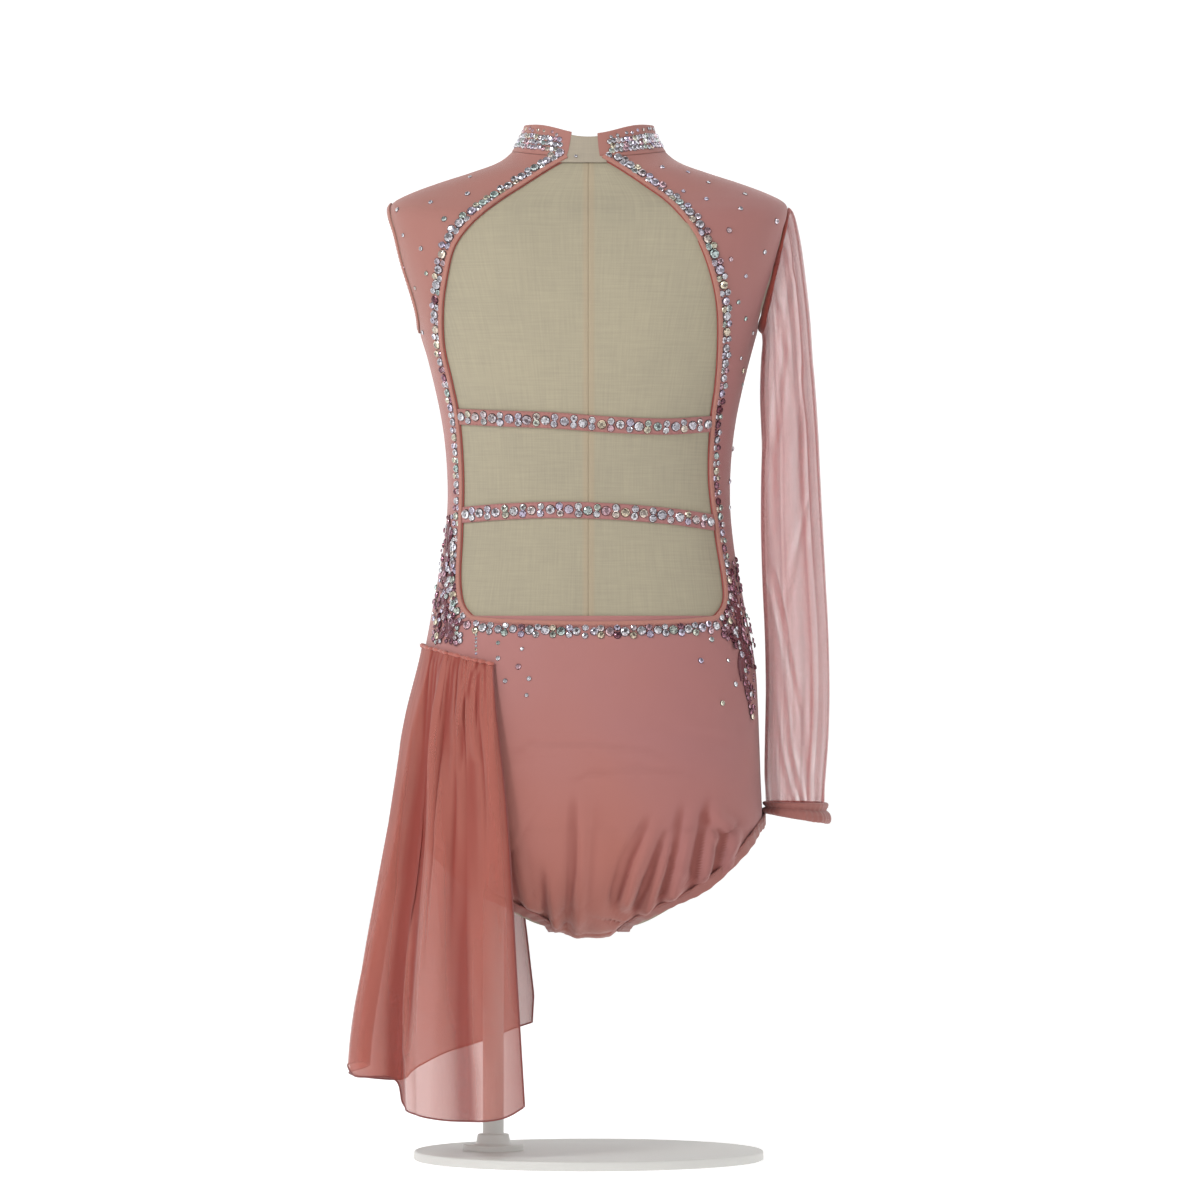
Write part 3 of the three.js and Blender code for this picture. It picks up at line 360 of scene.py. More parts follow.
def directions(level, turn):
    """The surface's ways round and up, a unit of turn or level long, and its outward normal."""
    level, turn = np.broadcast_arrays(np.asarray(level, float), np.asarray(turn, float))
    step = 0.02
    low, high = np.maximum(level - step, 0), np.minimum(level + step, len(FIGURE.rows) - 1)
    around = (figure(level, turn + step) - figure(level, turn - step)) / (2 * step)
    up = (figure(high, turn) - figure(low, turn)) / (high - low)[..., None]
    return around, up, unit(np.cross(around, up))


def lifted(level, turn, out):
    return figure(level, turn) + directions(level, turn)[2] * np.asarray(out, float)[..., None]


def walk(level, turn, way):
    """The level and turn reached by going a way along the surface."""
    around, up, _ = directions(level, turn)
    dot = lambda a, b: (a * b).sum(-1)
    rr, uu, ru = dot(around, around), dot(up, up), dot(around, up)
    rw, uw = dot(around, way), dot(up, way)
    det = rr * uu - ru * ru
    return level + (rr * uw - ru * rw) / det, turn + (uu * rw - ru * uw) / det


def level_at(height):
    return FIGURE.place("height", height)


def turn_at_x(level, x, front=False):
    """The turn with the sign of x at which the ring has this x, on the back or the front."""
    x = np.asarray(x, float)
    ring = lambda t: figure(level, math.pi - t if front else t)[..., 0]
    return np.sign(x) * solve(ring, np.abs(x) + 0 * np.asarray(level), 0, QUARTER)


def turn_at_y(level, y, front):
    ring = lambda t: -np.abs(figure(level, math.pi - t if front else t)[..., 1])
    return solve(ring, -np.abs(y) + 0 * np.asarray(level), 0, QUARTER)


def round_height(heights, turn):
    """A height that is blended round the figure from its back, side and front values."""
    along = np.cos(turn)
    end = np.where(along > 0, heights["back"], heights["front"])
    return mix(heights["side"], end, along * along)


def row_height(height, turn):
    """The height of a panel's row at a turn: rows near the neck bend until they follow the neck seam."""
    return height + (round_height(NECK_SEAM, turn) - NECK_ROW) * ease(TILT_FROM, NECK_ROW, height)


def edge_turn(height, front):
    """How far from the middle of the back or front a panel goes at this height, as a turn."""
    height = np.asarray(height, float)
    level = level_at(height)
    leg = np.radians(FIGURE.at("leg_front" if front else "leg_back", level))
    middle = (UNDERARM + SHOULDER_TIP) / 2
    rise = np.clip(np.abs((height - middle) / (SHOULDER_TIP - middle)), 0, 1)
    half = np.maximum(ARMHOLE_HALF * np.sqrt(1 - rise**4), 0.06)
    return np.where(height < LEG_TOP, leg, turn_at_y(level, half, front))


def open_edge(height, side):
    """The turn of the open back's left or right edge."""
    height = np.minimum(np.maximum(height, OPEN_BACK_FOOT), OPEN_BACK_TOP)
    return turn_at_x(level_at(height), OPEN_BACK.look_up("height", height, side))


def besides(x, height, right=0.0, up=0.0):
    """The level and turn of a place on the back, moved along the surface to the right and up."""
    level = level_at(height)
    turn = turn_at_x(level, x)
    around = directions(level, turn)[0]
    return level_at(height + up), turn + right / np.linalg.norm(around, axis=-1)


def seated(level, turn, out, *rest):
    """What sits on the figure: its point, its outward normal and its way along, and then the rest."""
    around, _, normal = directions(level, turn)
    return lifted(level, turn, out), normal, unit(around), *rest


class Route:
    """A line on the figure, with places given by the distance along it and the distance beside it.

    A straight route moves its places straight sideways instead of along the figure, which suits narrow bands
    where the figure turns sharply.
    """

    def __init__(self, level, turn, ring=False, straight=False):
        self.level, self.turn = np.asarray(level, float), np.asarray(turn, float)
        self.line = figure(self.level, self.turn)
        self.normal = directions(self.level, self.turn)[2]
        self.distance = lengths_along(self.line)
        self.length = self.distance[-1]
        self.ring, self.straight = ring, straight

    def read(self, values, distance):
        distance = distance % self.length if self.ring else np.clip(distance, 0, self.length)
        return np.stack([np.interp(distance, self.distance, column) for column in values.T], -1)

    def place(self, distance, beside=0.0, out=0.0):
        """A point, its outward normal and the way along. Beside is to the left as seen from outside."""
        distance, beside, out = np.broadcast_arrays(np.asarray(distance, float), beside, out)
        along = unit(self.read(self.line, distance + 1.2) - self.read(self.line, distance - 1.2))
        normal = unit(self.read(self.normal, distance))
        side = unit(np.cross(normal, along)) * beside[..., None]
        if self.straight:
            return self.read(self.line, distance) + side + normal * out[..., None], normal, along
        centre = self.read(np.stack([self.level, self.turn], -1), distance)
        level, turn = walk(centre[..., 0], centre[..., 1], side)
        return lifted(level, turn, out), directions(level, turn)[2], along


# ---- meshes --------


def millimetres(name):
    """A size from the panel."""
    return getattr(bpy.context.scene.dress_sizes, name) / MM


def to_metres(points):
    return (np.asarray(points, float) + np.array([0, 0, HEM_TO_FLOOR])) * MM


def turned_in(points, quads):
    """Whether four-sided faces look inwards."""
    corners = points[quads]
    return sum((corners[:, 0] * np.cross(corners[:, k], corners[:, k + 1])).sum() for k in (1, 2)) < 0


def placed(name, data):
    """An object of the scene with this data."""
    made = bpy.data.objects.new(name, data)
    bpy.context.scene.collection.objects.link(made)
    return made


def build(name, points, quads, corners_uv=None, caps=(), values=None, sharp=48.0):
    """A mesh object from points in millimetres, arrays of four-sided faces and a few end faces."""
    quads = np.asarray(quads)
    corners = np.concatenate([quads.ravel()] + [np.asarray(cap) for cap in caps])
    used, first = np.unique(corners, return_inverse=True)
    quads = first[: quads.size].reshape(quads.shape)
    rest, spot = first[quads.size :], 0
    ends = []
    for cap in caps:
        ends.append(rest[spot : spot + len(cap)].tolist())
        spot += len(cap)
    points = np.asarray(points)[used]
    if turned_in(points, quads):
        quads = quads[:, ::-1]
        corners_uv = None if corners_uv is None else corners_uv[:, ::-1]
        ends = [end[::-1] for end in ends]
    mesh = bpy.data.meshes.new(name)
    mesh.from_pydata(to_metres(points).tolist(), [], quads.tolist() + ends)
    if corners_uv is not None:
        layer = mesh.uv_layers.new(name="cloth")
        flat = np.zeros((len(mesh.loops), 2))
        flat[: quads.size] = corners_uv.reshape(-1, 2) * MM
        layer.data.foreach_set("uv", flat.ravel())
    for key, value in (values or {}).items():
        attribute = mesh.attributes.new(key, "FLOAT", "POINT")
        attribute.data.foreach_set("value", np.asarray(value, float).ravel()[used])
    mesh.polygons.foreach_set("use_smooth", [True] * len(mesh.polygons))
    mesh.set_sharp_from_angle(angle=math.radians(sharp))
    mesh.validate()
    return placed(name, mesh)


def shell(name, outer, inner, ring=False, hole=None, values=None):
    """A closed wall between two grids of points, rows by columns, with narrow faces at its free edges."""
    rows, columns = outer.shape[:2]
    wide = columns + (1 if ring else 0)
    row, column = np.mgrid[0 : rows - 1, 0 : wide - 1]
    keep = np.ones(row.shape, bool) if hole is None else ~hole
    index = lambda r, c: r * wide + c
    a, b = index(row, column), index(row, column + 1)
    c, d = index(row + 1, column + 1), index(row + 1, column)
    back = rows * wide
    faces = [np.stack([a, b, c, d], -1)[keep], np.stack([d, c, b, a], -1)[keep] + back]
    padded = np.pad(keep, 1)
    if ring:
        padded[1:-1, 0], padded[1:-1, -1] = keep[:, -1], keep[:, 0]
    sides = [
        (padded[:-2, 1:-1], a, b),
        (padded[2:, 1:-1], c, d),
        (padded[1:-1, :-2], d, a),
        (padded[1:-1, 2:], b, c),
    ]
    for beyond, p, q in sides:
        free = keep & ~beyond
        faces.append(np.stack([q, p, p + back, q + back], -1)[free])
    quads = np.concatenate(faces)
    closed = np.concatenate([outer, outer[:, :1]], 1) if ring else outer
    u, v = lengths_along(closed, 1), lengths_along(closed)
    uv = np.stack(np.broadcast_arrays(u[None, :], v[:, None]), -1).reshape(-1, 2)
    corners_uv = uv[quads % back]
    side, flat = quads // back, quads % back
    vertex = side * rows * columns + (flat // wide) * columns + (flat % wide) % columns
    points = np.concatenate([outer.reshape(-1, 3), inner.reshape(-1, 3)])
    both = {key: np.concatenate([v.ravel(), v.ravel()]) for key, v in (values or {}).items()}
    return build(name, points, vertex, corners_uv, values=both)


def grid_normals(points, ring=False):
    """Outward normals of a grid whose rows go up and whose columns go round."""
    if ring:
        across = np.roll(points, -1, 1) - np.roll(points, 1, 1)
    else:
        across = np.gradient(points, axis=1)
    return unit(np.cross(across, np.gradient(points, axis=0)))


def thin_cloth(name, outer, wall, ring=False, hole=None, values=None):
    """A sheet of cloth whose outer face is a grid of points."""
    inner = outer - grid_normals(outer, ring) * wall
    return shell(name, outer, inner, ring=ring, hole=hole, values=values)


def loft(name, sections, ring=False, values=None, sharp=48.0):
    """A closed solid through closed sections, each a row of points."""
    count, around = sections.shape[:2]
    steps = count if ring else count - 1
    row, column = np.mgrid[0:steps, 0:around]
    index = lambda r, c: (r % count) * around + c % around
    corners = [(row, column), (row, column + 1), (row + 1, column + 1), (row + 1, column)]
    quads = np.stack([index(r, c) for r, c in corners], -1).reshape(-1, 4)
    closed = np.concatenate([sections, sections[:1]], 0) if ring else sections
    u, v = lengths_along(np.concatenate([sections[0], sections[0][:1]])), lengths_along(closed.mean(1))
    uv = np.stack([np.stack([u[c], v[r]], -1) for r, c in corners], 2).reshape(-1, 4, 2)
    caps = [] if ring else [list(range(around))[::-1], list(range((count - 1) * around, count * around))]
    return build(name, sections.reshape(-1, 3), quads, uv, caps=caps, values=values, sharp=sharp)


def stadium(half_width, half_thick, sides=5, ends=4):
    """A flat section with round ends: across from -half_width to half_width, and out."""
    round_by = min(half_thick, half_width)
    flat = half_width - round_by
    angles = np.linspace(-QUARTER, QUARTER, ends + 1)
    right = [(flat + round_by * math.cos(a), half_thick * math.sin(a)) for a in angles]
    left = [(-x, -y) for x, y in right]
    top = [(x, half_thick) for x in np.linspace(flat, -flat, sides + 1)[1:-1]]
    low = [(x, -half_thick) for x in np.linspace(-flat, flat, sides + 1)[1:-1]]
    return np.array(right + top + left + low)


def join(name, pieces):
    """One mesh object from several."""
    whole = bmesh.new()
    for piece in pieces:
        whole.from_mesh(piece.data)
        bpy.data.objects.remove(piece)
    mesh = bpy.data.meshes.new(name)
    whole.to_mesh(mesh)
    whole.free()
    return placed(name, mesh)


def add_node(tree, kind, settings=None, inputs=None):
    """A node with its settings, and with its inputs set or linked."""
    made = tree.nodes.new(kind)
    for key, value in (settings or {}).items():
        setattr(made, key, value)
    for key, value in (inputs or {}).items():
        if isinstance(value, bpy.types.NodeSocket):
            tree.links.new(value, made.inputs[key])
        else:
            made.inputs[key].default_value = value
    return made


def belongs(piece, finish, slot, *stands_for):
    """Gives a piece its material, hangs it under the root body and hides the nodes that it stands for. The
    slot is not used.
    """
    piece.data.materials.clear()
    piece.data.materials.append(finish_named(finish))
    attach(piece, "root")
    if stands_for:
        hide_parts(*stands_for)
    return piece


# ---- materials --------


def srgb(red, green, blue):
    """Linear colour from 0 to 255 screen values."""
    return tuple(((v / 255 + 0.055) / 1.055) ** 2.4 if v > 10 else v / 3294.6 for v in (red, green, blue))


class Socket:
    """A shader socket with arithmetic on it."""

    def __init__(self, finish, socket):
        self.finish, self.socket = finish, socket

    def math(self, operation, *others):
        values = {i + 1: other for i, other in enumerate(others)}
        return self.finish.node("ShaderNodeMath", {"operation": operation}, {0: self, **values})

    def flipped(self, operation, other):
        return self.finish.node("ShaderNodeMath", {"operation": operation}, {0: other, 1: self})

    def sine(self):
        return self.math("SINE")

    def size(self):
        return self.math("ABSOLUTE")

    def between(self, low, high):
        return self.math("MAXIMUM", low).math("MINIMUM", high)


for way, operation in (("add", "ADD"), ("sub", "SUBTRACT"), ("mul", "MULTIPLY")):
    setattr(Socket, f"__{way}__", lambda self, other, operation=operation: self.math(operation, other))
    setattr(Socket, f"__r{way}__", lambda self, other, operation=operation: self.flipped(operation, other))


class Finish:
    """A material with a Principled shader, made node by node."""

    def __init__(self, name, **uniform):
        self.material = bpy.data.materials.new(name)
        self.material.use_nodes = True
        self.tree = self.material.node_tree
        self.shader = self.tree.nodes["Principled BSDF"]
        for key, value in uniform.items():
            self.shader.inputs[key.replace("_", " ")].default_value = value

    def node(self, kind, settings=None, inputs=None, output=0):
        inputs = {key: getattr(value, "socket", value) for key, value in (inputs or {}).items()}
        return Socket(self, add_node(self.tree, kind, settings, inputs).outputs[output])

    def feed(self, **links):
        for key, value in links.items():
            self.tree.links.new(value.socket, self.shader.inputs[key.replace("_", " ")])

    def uv(self):
        """Where on the cloth, in metres, and its u and v."""
        at = self.node("ShaderNodeUVMap", {"uv_map": "cloth"})
        return at, self.part(at), self.part(at, 1)

    def part(self, at, number=0):
        return self.node("ShaderNodeSeparateXYZ", None, {0: at}, output=number)

    def place(self):
        return self.node("ShaderNodeTexCoord", output="Object")

    def noise(self, at, scale, detail=3.0, roughness=0.5):
        inputs = {"Vector": at, "Scale": scale, "Detail": detail, "Roughness": roughness}
        return self.node("ShaderNodeTexNoise", None, inputs)

    def blend(self, factor, a, b):
        settings = {"data_type": "RGBA", "blend_type": "MIX"}
        colour = lambda v: v if isinstance(v, Socket) else (*v, 1)
        return self.node("ShaderNodeMix", settings, {0: factor, 6: colour(a), 7: colour(b)}, output=2)

    def attribute(self, name):
        return self.node("ShaderNodeAttribute", {"attribute_name": name}, output="Fac")

    def bump(self, height, strength, distance):
        inputs = {"Height": height, "Strength": strength, "Distance": distance}
        self.feed(Normal=self.node("ShaderNodeBump", None, inputs))

    def tones(self, tone, colour, dark, pale):
        self.feed(Base_Color=self.blend(tone, shade(colour, dark), shade(colour, pale)))


def shade(colour, *factors):
    """A colour times one factor, or times one each for its red, green and blue."""
    return tuple(min(v * factor, 1.0) for v, factor in zip(colour, factors * (3 // len(factors))))


def knit_finish(name, colour):
    """Fine stretch knit: rows of small loops, a soft change of tone over the cloth, painted light that makes
    it lighter towards the top, and painted shade on its right side and in its creases.
    """
    finish = Finish(name, Roughness=0.6, Sheen_Weight=0.3, Sheen_Roughness=0.45, Specular_IOR_Level=0.3)
    finish.shader.inputs["Sheen Tint"].default_value = (1.0, 0.86, 0.84, 1)
    at, u, v = finish.uv()
    place = finish.place()
    broad = finish.noise(place, 9.0, 2.0)
    fine = finish.noise(at, 900.0, 2.0)
    tone = ((broad - 0.5) * 1.6 + (fine - 0.5) * 0.5 + 0.5).between(0, 1)
    height, across = finish.part(place, 2), finish.part(place)
    coral, lit_mauve = shade(colour, 0.96, 0.84, 0.78), shade(colour, 1.0, 1.08, 1.2)
    brown, right_side_shade = shade(colour, 0.9, 0.96, 0.88), shade(colour, 0.86, 0.88, 1.04)
    # Lighter and more mauve towards the top: partly painted light falling from above, partly the knit's own
    # uneven tone.
    plain = finish.blend((tone * 0.5 + (height - 0.3) * 4.0).between(0, 1), coral, lit_mauve)
    plain = finish.blend(((height - 0.55) * 4.0).between(0, 0.7), plain, brown)
    # Painted shade on the right side, away from the key light: darker and bluer towards +X.
    plain = finish.blend((across * 5.0 + (broad - 0.5)).between(0, 0.75), plain, right_side_shade)
    # Painted shade in the creases: where the fold value marks the cloth as sunk in, the colour goes darker
    # and redder.
    crease_shade = (finish.attribute("fold") * -0.9).between(0, 1)
    finish.feed(Base_Color=finish.blend(crease_shade, plain, shade(colour, 0.6, 0.38, 0.36)))
    finish.feed(Roughness=(0.56 + fine * 0.12))
    waves = TURN / 0.0006
    loops = (u * waves).sine().size() * 0.6 + (v * waves).sine() * 0.4
    finish.bump(loops + fine * 0.8, 0.25, 0.00025)
    return finish.material


def sheer_finish(name, colour, alpha, pitch, fold_shade, dense, contrast):
    """See-through cloth: an open weave, denser where it folds inwards, with painted shade, deeper in colour,
    in its folds and a painted highlight on its ridges.

    Alpha has its value at the hem and its value well above it.
    """
    finish = Finish(name, Roughness=0.7, Sheen_Weight=0.2, Sheen_Roughness=0.5, Specular_IOR_Level=0.25)
    at, u, v = finish.uv()
    place = finish.place()
    broad = finish.noise(place, 14.0, 3.0)
    threads = (u * (math.pi / pitch)).sine().size() + (v * (math.pi / pitch)).sine().size()
    slub = finish.noise(at, 300.0, 3.0)
    tone = (broad * 0.7 + slub * 0.3).between(0, 1)
    fold = finish.attribute("fold")
    plain = finish.blend(tone, shade(colour, 0.93), shade(colour, 1.07))
    # Painted highlight on the ridges, then painted shade, deeper in colour, in the folds.
    ridge_highlight = finish.blend(fold.between(0, 1) * 0.45, plain, shade(colour, 1.3))
    finish.feed(Base_Color=finish.blend((fold * -0.85).between(0, 1), ridge_highlight, shade(colour, *fold_shade)))
    rise = ((finish.part(place, 2) - 0.1) * 5.0).between(0, 1)
    open_weave = (threads - 1.27) * contrast + (broad - 0.5) * 0.1 - fold * dense
    finish.feed(Alpha=(rise * (alpha[1] - alpha[0]) + alpha[0] + open_weave).between(0, 1))
    finish.bump(slub, 0.08, 0.0002)
    return finish.material


def band_finish(name, colour):
    """Elastic in a knit casing: fine ribs across it."""
    finish = Finish(name, Roughness=0.65, Sheen_Weight=0.25, Specular_IOR_Level=0.3)
    at, _, v = finish.uv()
    fine = finish.noise(at, 700.0, 2.0)
    ribs = (v * (TURN / 0.0011)).sine()
    tone = (fine * 0.7 + ribs * 0.15 + 0.2).between(0, 1)
    finish.tones(tone, colour, 0.88, 1.08)
    finish.feed(Roughness=(0.6 + fine * 0.1))
    finish.bump(ribs * 0.7 + fine, 0.3, 0.0003)
    return finish.material


def woven_finish(name, colour, pitch, slubs, seam):
    """Plain weave cotton with a few thick threads, and a tinted seam down the middle of the back."""
    finish = Finish(name, Roughness=0.85, Sheen_Weight=0.15, Specular_IOR_Level=0.2)
    at, u, v = finish.uv()
    place = finish.place()
    warp, weft = ((way * (TURN / pitch)).sine() for way in (u, v))
    stretched = [
        finish.node("ShaderNodeMapping", None, {"Vector": at, "Scale": scale})
        for scale in ((700.0, 30.0, 1.0), (30.0, 700.0, 1.0))
    ]
    slub = finish.noise(stretched[0], 1.0, 2.0) + finish.noise(stretched[1], 1.0, 2.0)
    broad = finish.noise(place, 7.0, 3.0)
    tone = ((slub - 1.0) * slubs + (broad - 0.5) * 1.5 + warp * weft * 0.06 + 0.5).between(0, 1)
    plain = finish.blend(tone, shade(colour, 0.86), shade(colour, 1.08, 1.07, 1.02))
    near = ((0.006 - finish.part(place).size()) * 400.0).between(0, 1) * seam
    finish.feed(Base_Color=finish.blend(near, plain, shade(colour, 1.12, 0.95, 0.85)))
    finish.bump(warp * weft * 0.5 + slub * 0.8, 0.3, 0.0003)
    return finish.material


def crystal_finish(name, shadow):
    """Cut glass with a rainbow coat: each stone has its tint, each facet a painted brightness that stands in
    for its reflections, and the brightest facets glow as painted glints.
    """
    finish = Finish(name, Roughness=0.07, Metallic=0.7, IOR=1.6, Emission_Strength=0.5)
    tint, facet = finish.attribute("tint"), finish.attribute("facet")
    stops = [
        (0.0, srgb(205, 205, 215)),
        (0.3, srgb(235, 236, 240)),
        (0.5, srgb(214, 205, 232)),
        (0.62, srgb(240, 226, 198)),
        (0.72, srgb(190, 214, 210)),
        (0.82, srgb(232, 196, 206)),
        (0.92, srgb(168, 120, 138)),
        (1.0, srgb(96, 40, 52)),
    ]
    ramp = finish.node("ShaderNodeValToRGB", None, {"Fac": tint})
    elements = ramp.socket.node.color_ramp.elements
    while len(elements) < len(stops):
        elements.new(1)
    for element, (position, colour) in zip(elements, stops):
        element.position, element.color = position, (*colour, 1)
    # Painted light: the random brightness of each facet and the face light of the copy stand in for
    # reflections; the girdle's dark ring is a painted shadow round the stone.
    painted_facet_light = (facet * 0.85 + finish.attribute("rim") * 0.6 - 0.15).between(0, 1)
    shaded_glass = finish.blend(0.1, shadow, ramp)
    finish.feed(Base_Color=finish.blend(painted_facet_light, shaded_glass, ramp))
    # Painted glints: the brightest facets glow.
    painted_glint = (painted_facet_light - 0.8) * 5.0
    finish.feed(Emission_Color=finish.blend(painted_glint.between(0, 1), (0, 0, 0), ramp))
    finish.feed(Roughness=(0.05 + (1 - facet) * 0.12))
    return finish.material


def lace_finish(name, colour):
    """Corded lace with small beads: glossy grains of uneven tone."""
    finish = Finish(name, Roughness=0.45, Specular_IOR_Level=0.6, Coat_Weight=0.2)
    at = finish.place()
    fine = finish.noise(at, 1400.0, 2.0)
    broad = finish.noise(at, 160.0, 2.0)
    tone = (fine * 0.6 + broad * 0.6 - 0.1).between(0, 1)
    finish.tones(tone, colour, 0.55, 1.6)
    finish.feed(Roughness=(0.3 + broad * 0.35))
    finish.bump(fine, 0.5, 0.0004)
    return finish.material


def steel_finish(name, colour):
    """White powder coat with a fine orange peel."""
    finish = Finish(name, Roughness=0.42, Metallic=0.0, Specular_IOR_Level=0.5)
    at = finish.place()
    peel = finish.noise(at, 500.0, 2.0)
    scuff = finish.noise(at, 25.0, 4.0, 0.7)
    finish.tones(scuff, colour, 0.96, 1.02)
    finish.feed(Roughness=(0.36 + scuff * 0.16))
    finish.bump(peel, 0.08, 0.0002)
    return finish.material


def thread_finish(name, colour):
    """Twisted sewing thread."""
    finish = Finish(name, Roughness=0.6, Sheen_Weight=0.3)
    twist = finish.noise(finish.place(), 2500.0, 1.0)
    finish.tones(twist, colour, 0.85, 1.1)
    finish.bump(twist, 0.3, 0.0002)
    return finish.material


# What makes each finish: the function, the material's name, its colour in the panel, and the rest.
MAKERS = {
    "knit": (knit_finish, "stretch_knit", "knit"),
    "band": (band_finish, "elastic_casing", "band"),
    "binding": (band_finish, "edge_binding", "binding"),
    "seam": (band_finish, "seam_allowance", "seam"),
    # The sheer finishes take alpha at the hem and above, the weave's pitch, the colour of the painted shade
    # in folds, the density in folds and the weave's contrast.
    "mesh": (sheer_finish, "power_mesh", "mesh", (0.28, 0.28), 0.001, (0.9, 0.62, 0.6), 0.14, 0.12),
    "chiffon": (sheer_finish, "chiffon", "chiffon", (0.56, 0.68), 0.0006, (0.68, 0.36, 0.34), 0.12, 0.01),
    "hem": (band_finish, "rolled_hem", "hem"),
    "gathers": (band_finish, "gathered_seam", "chiffon"),
    "muslin": (woven_finish, "muslin", "muslin", 0.0012, 1.1, 0.45),
    "tape": (woven_finish, "hook_tape", "tape", 0.0009, 0.9, 0.0),
    "lace": (lace_finish, "beaded_lace", "lace"),
    "crystal": (crystal_finish, "crystal", "crystal"),
    "thread": (thread_finish, "thread", "thread"),
    "steel": (steel_finish, "powder_coat", "steel"),
}
FINISHES = {}


def finish_named(name):
    """A material by name, made on first use from its colour in the panel."""
    if name not in FINISHES:
        make, material, colour, *rest = MAKERS[name]
        FINISHES[name] = make(material, tuple(getattr(bpy.context.scene.dress_colours, colour)), *rest)
    return FINISHES[name]


# ---- settings a user would change --------


def colour_setting(name, description, red, green, blue):
    default = srgb(red, green, blue)
    settings = {"subtype": "COLOR", "size": 3, "min": 0, "max": 1, "default": default}
    return FloatVectorProperty(name=name, description=description, **settings)


def length_setting(name, description, millimetres):
    settings = {"default": millimetres * MM, "min": 0, "unit": "LENGTH", "subtype": "DISTANCE"}
    return FloatProperty(name=name, description=description, **settings)


class DressSizes(bpy.types.PropertyGroup):
    """Sizes of the dress's cloth and trimmings."""

    knit_wall: length_setting("Knit", "Thickness of the leotard's knit", 0.9)
    sheer_wall: length_setting("Sheer", "Thickness of the mesh sleeve", 0.5)
    chiffon_wall: length_setting("Chiffon", "Thickness of the half skirt", 0.5)
    strap_width: length_setting("Strap", "Width of the back straps", 14.0)
    binding_width: length_setting("Binding", "Width of the open back's binding", 4.2)
    leg_band: length_setting("Leg band", "Width of the elastic leg bands", 11.0)
    large_crystal: length_setting("Large crystal", "Diameter of the large crystals", 7.8)
    small_crystal: length_setting("Small crystal", "Diameter of the small crystals", 6.0)
    stitch: length_setting("Stitch", "Length of a stitch", 2.4)
    seed: IntProperty(name="Seed", description="Start of the random scatter", default=7, min=0)


class DressColours(bpy.types.PropertyGroup):
    """Colours of the dress and its form."""

    knit: colour_setting("Knit", "Dusty coral stretch knit", 164, 108, 100)
    band: colour_setting("Bands", "Elastic casings and cuff", 147, 92, 85)
    binding: colour_setting("Binding", "Edge binding", 168, 114, 102)
    seam: colour_setting("Seams", "Seam allowances seen through the mesh", 158, 72, 62)
    mesh: colour_setting("Mesh", "Sheer sleeve", 186, 112, 110)
    chiffon: colour_setting("Chiffon", "Half skirt", 171, 97, 85)
    hem: colour_setting("Hem", "Rolled hem of the half skirt", 122, 62, 58)
    muslin: colour_setting("Muslin", "Cover of the dress form", 160, 152, 133)
    tape: colour_setting("Tape", "Hook tape of the collar", 160, 150, 136)
    lace: colour_setting("Lace", "Wine lace", 92, 36, 46)
    crystal: colour_setting("Crystals", "Shadow inside a crystal", 46, 24, 30)
    thread: colour_setting("Thread", "Sewing thread", 150, 94, 88)
    steel: colour_setting("Stand", "Powder coat of the stand", 205, 204, 200)


# ---- repeated small things --------


def copies_tree(name, finish):
    """Geometry nodes that set a copy on each point, turned to its directions and scaled to its size."""
    tree = bpy.data.node_groups.new(name, "GeometryNodeTree")
    face = tree.interface
    face.new_socket("Geometry", in_out="INPUT", socket_type="NodeSocketGeometry")
    face.new_socket("Copy", in_out="INPUT", socket_type="NodeSocketObject")
    face.new_socket("Size", in_out="INPUT", socket_type="NodeSocketFloat").default_value = 1.0
    face.new_socket("Seed", in_out="INPUT", socket_type="NodeSocketInt").default_value = 1
    face.new_socket("Geometry", in_out="OUTPUT", socket_type="NodeSocketGeometry")
    node = lambda *asked: add_node(tree, *asked)
    vector, scale = {"data_type": "FLOAT_VECTOR"}, {"operation": "SCALE"}
    read = lambda attribute: node("GeometryNodeInputNamedAttribute", vector, {"Name": attribute}).outputs[0]

    start = node("NodeGroupInput")
    info = node("GeometryNodeObjectInfo", None, {"Object": start.outputs["Copy"], "As Instance": True})
    axes = {"primary_axis": "Z", "secondary_axis": "X"}
    turned = node("FunctionNodeAxesToRotation", axes, {0: read("out"), 1: read("along")})
    grown = node("ShaderNodeVectorMath", scale, {0: read("size"), "Scale": start.outputs["Size"]})
    inputs = {
        "Points": start.outputs["Geometry"],
        "Instance": info.outputs["Geometry"],
        "Rotation": turned.outputs[0],
        "Scale": grown.outputs[0],
    }
    set_out = node("GeometryNodeInstanceOnPoints", None, inputs)
    real = node("GeometryNodeRealizeInstances", None, {"Geometry": set_out.outputs[0]})
    # A random value for each face, which the crystal finish paints as that facet's reflected light.
    chance = node("FunctionNodeRandomValue", {"data_type": "FLOAT"}, {"Seed": start.outputs["Seed"]})
    inputs = {"Name": "facet", "Geometry": real.outputs[0], "Value": chance.outputs[1]}
    keep = node("GeometryNodeStoreNamedAttribute", {"data_type": "FLOAT", "domain": "FACE"}, inputs)
    dressed = node("GeometryNodeSetMaterial", None, {"Material": finish, "Geometry": keep.outputs[0]})
    node("NodeGroupOutput", None, {0: dressed.outputs[0]})
    return tree


def socket_named(tree, name):
    for item in tree.interface.items_tree:
        if item.name == name and item.in_out == "INPUT":
            return item.identifier
    raise KeyError(name)


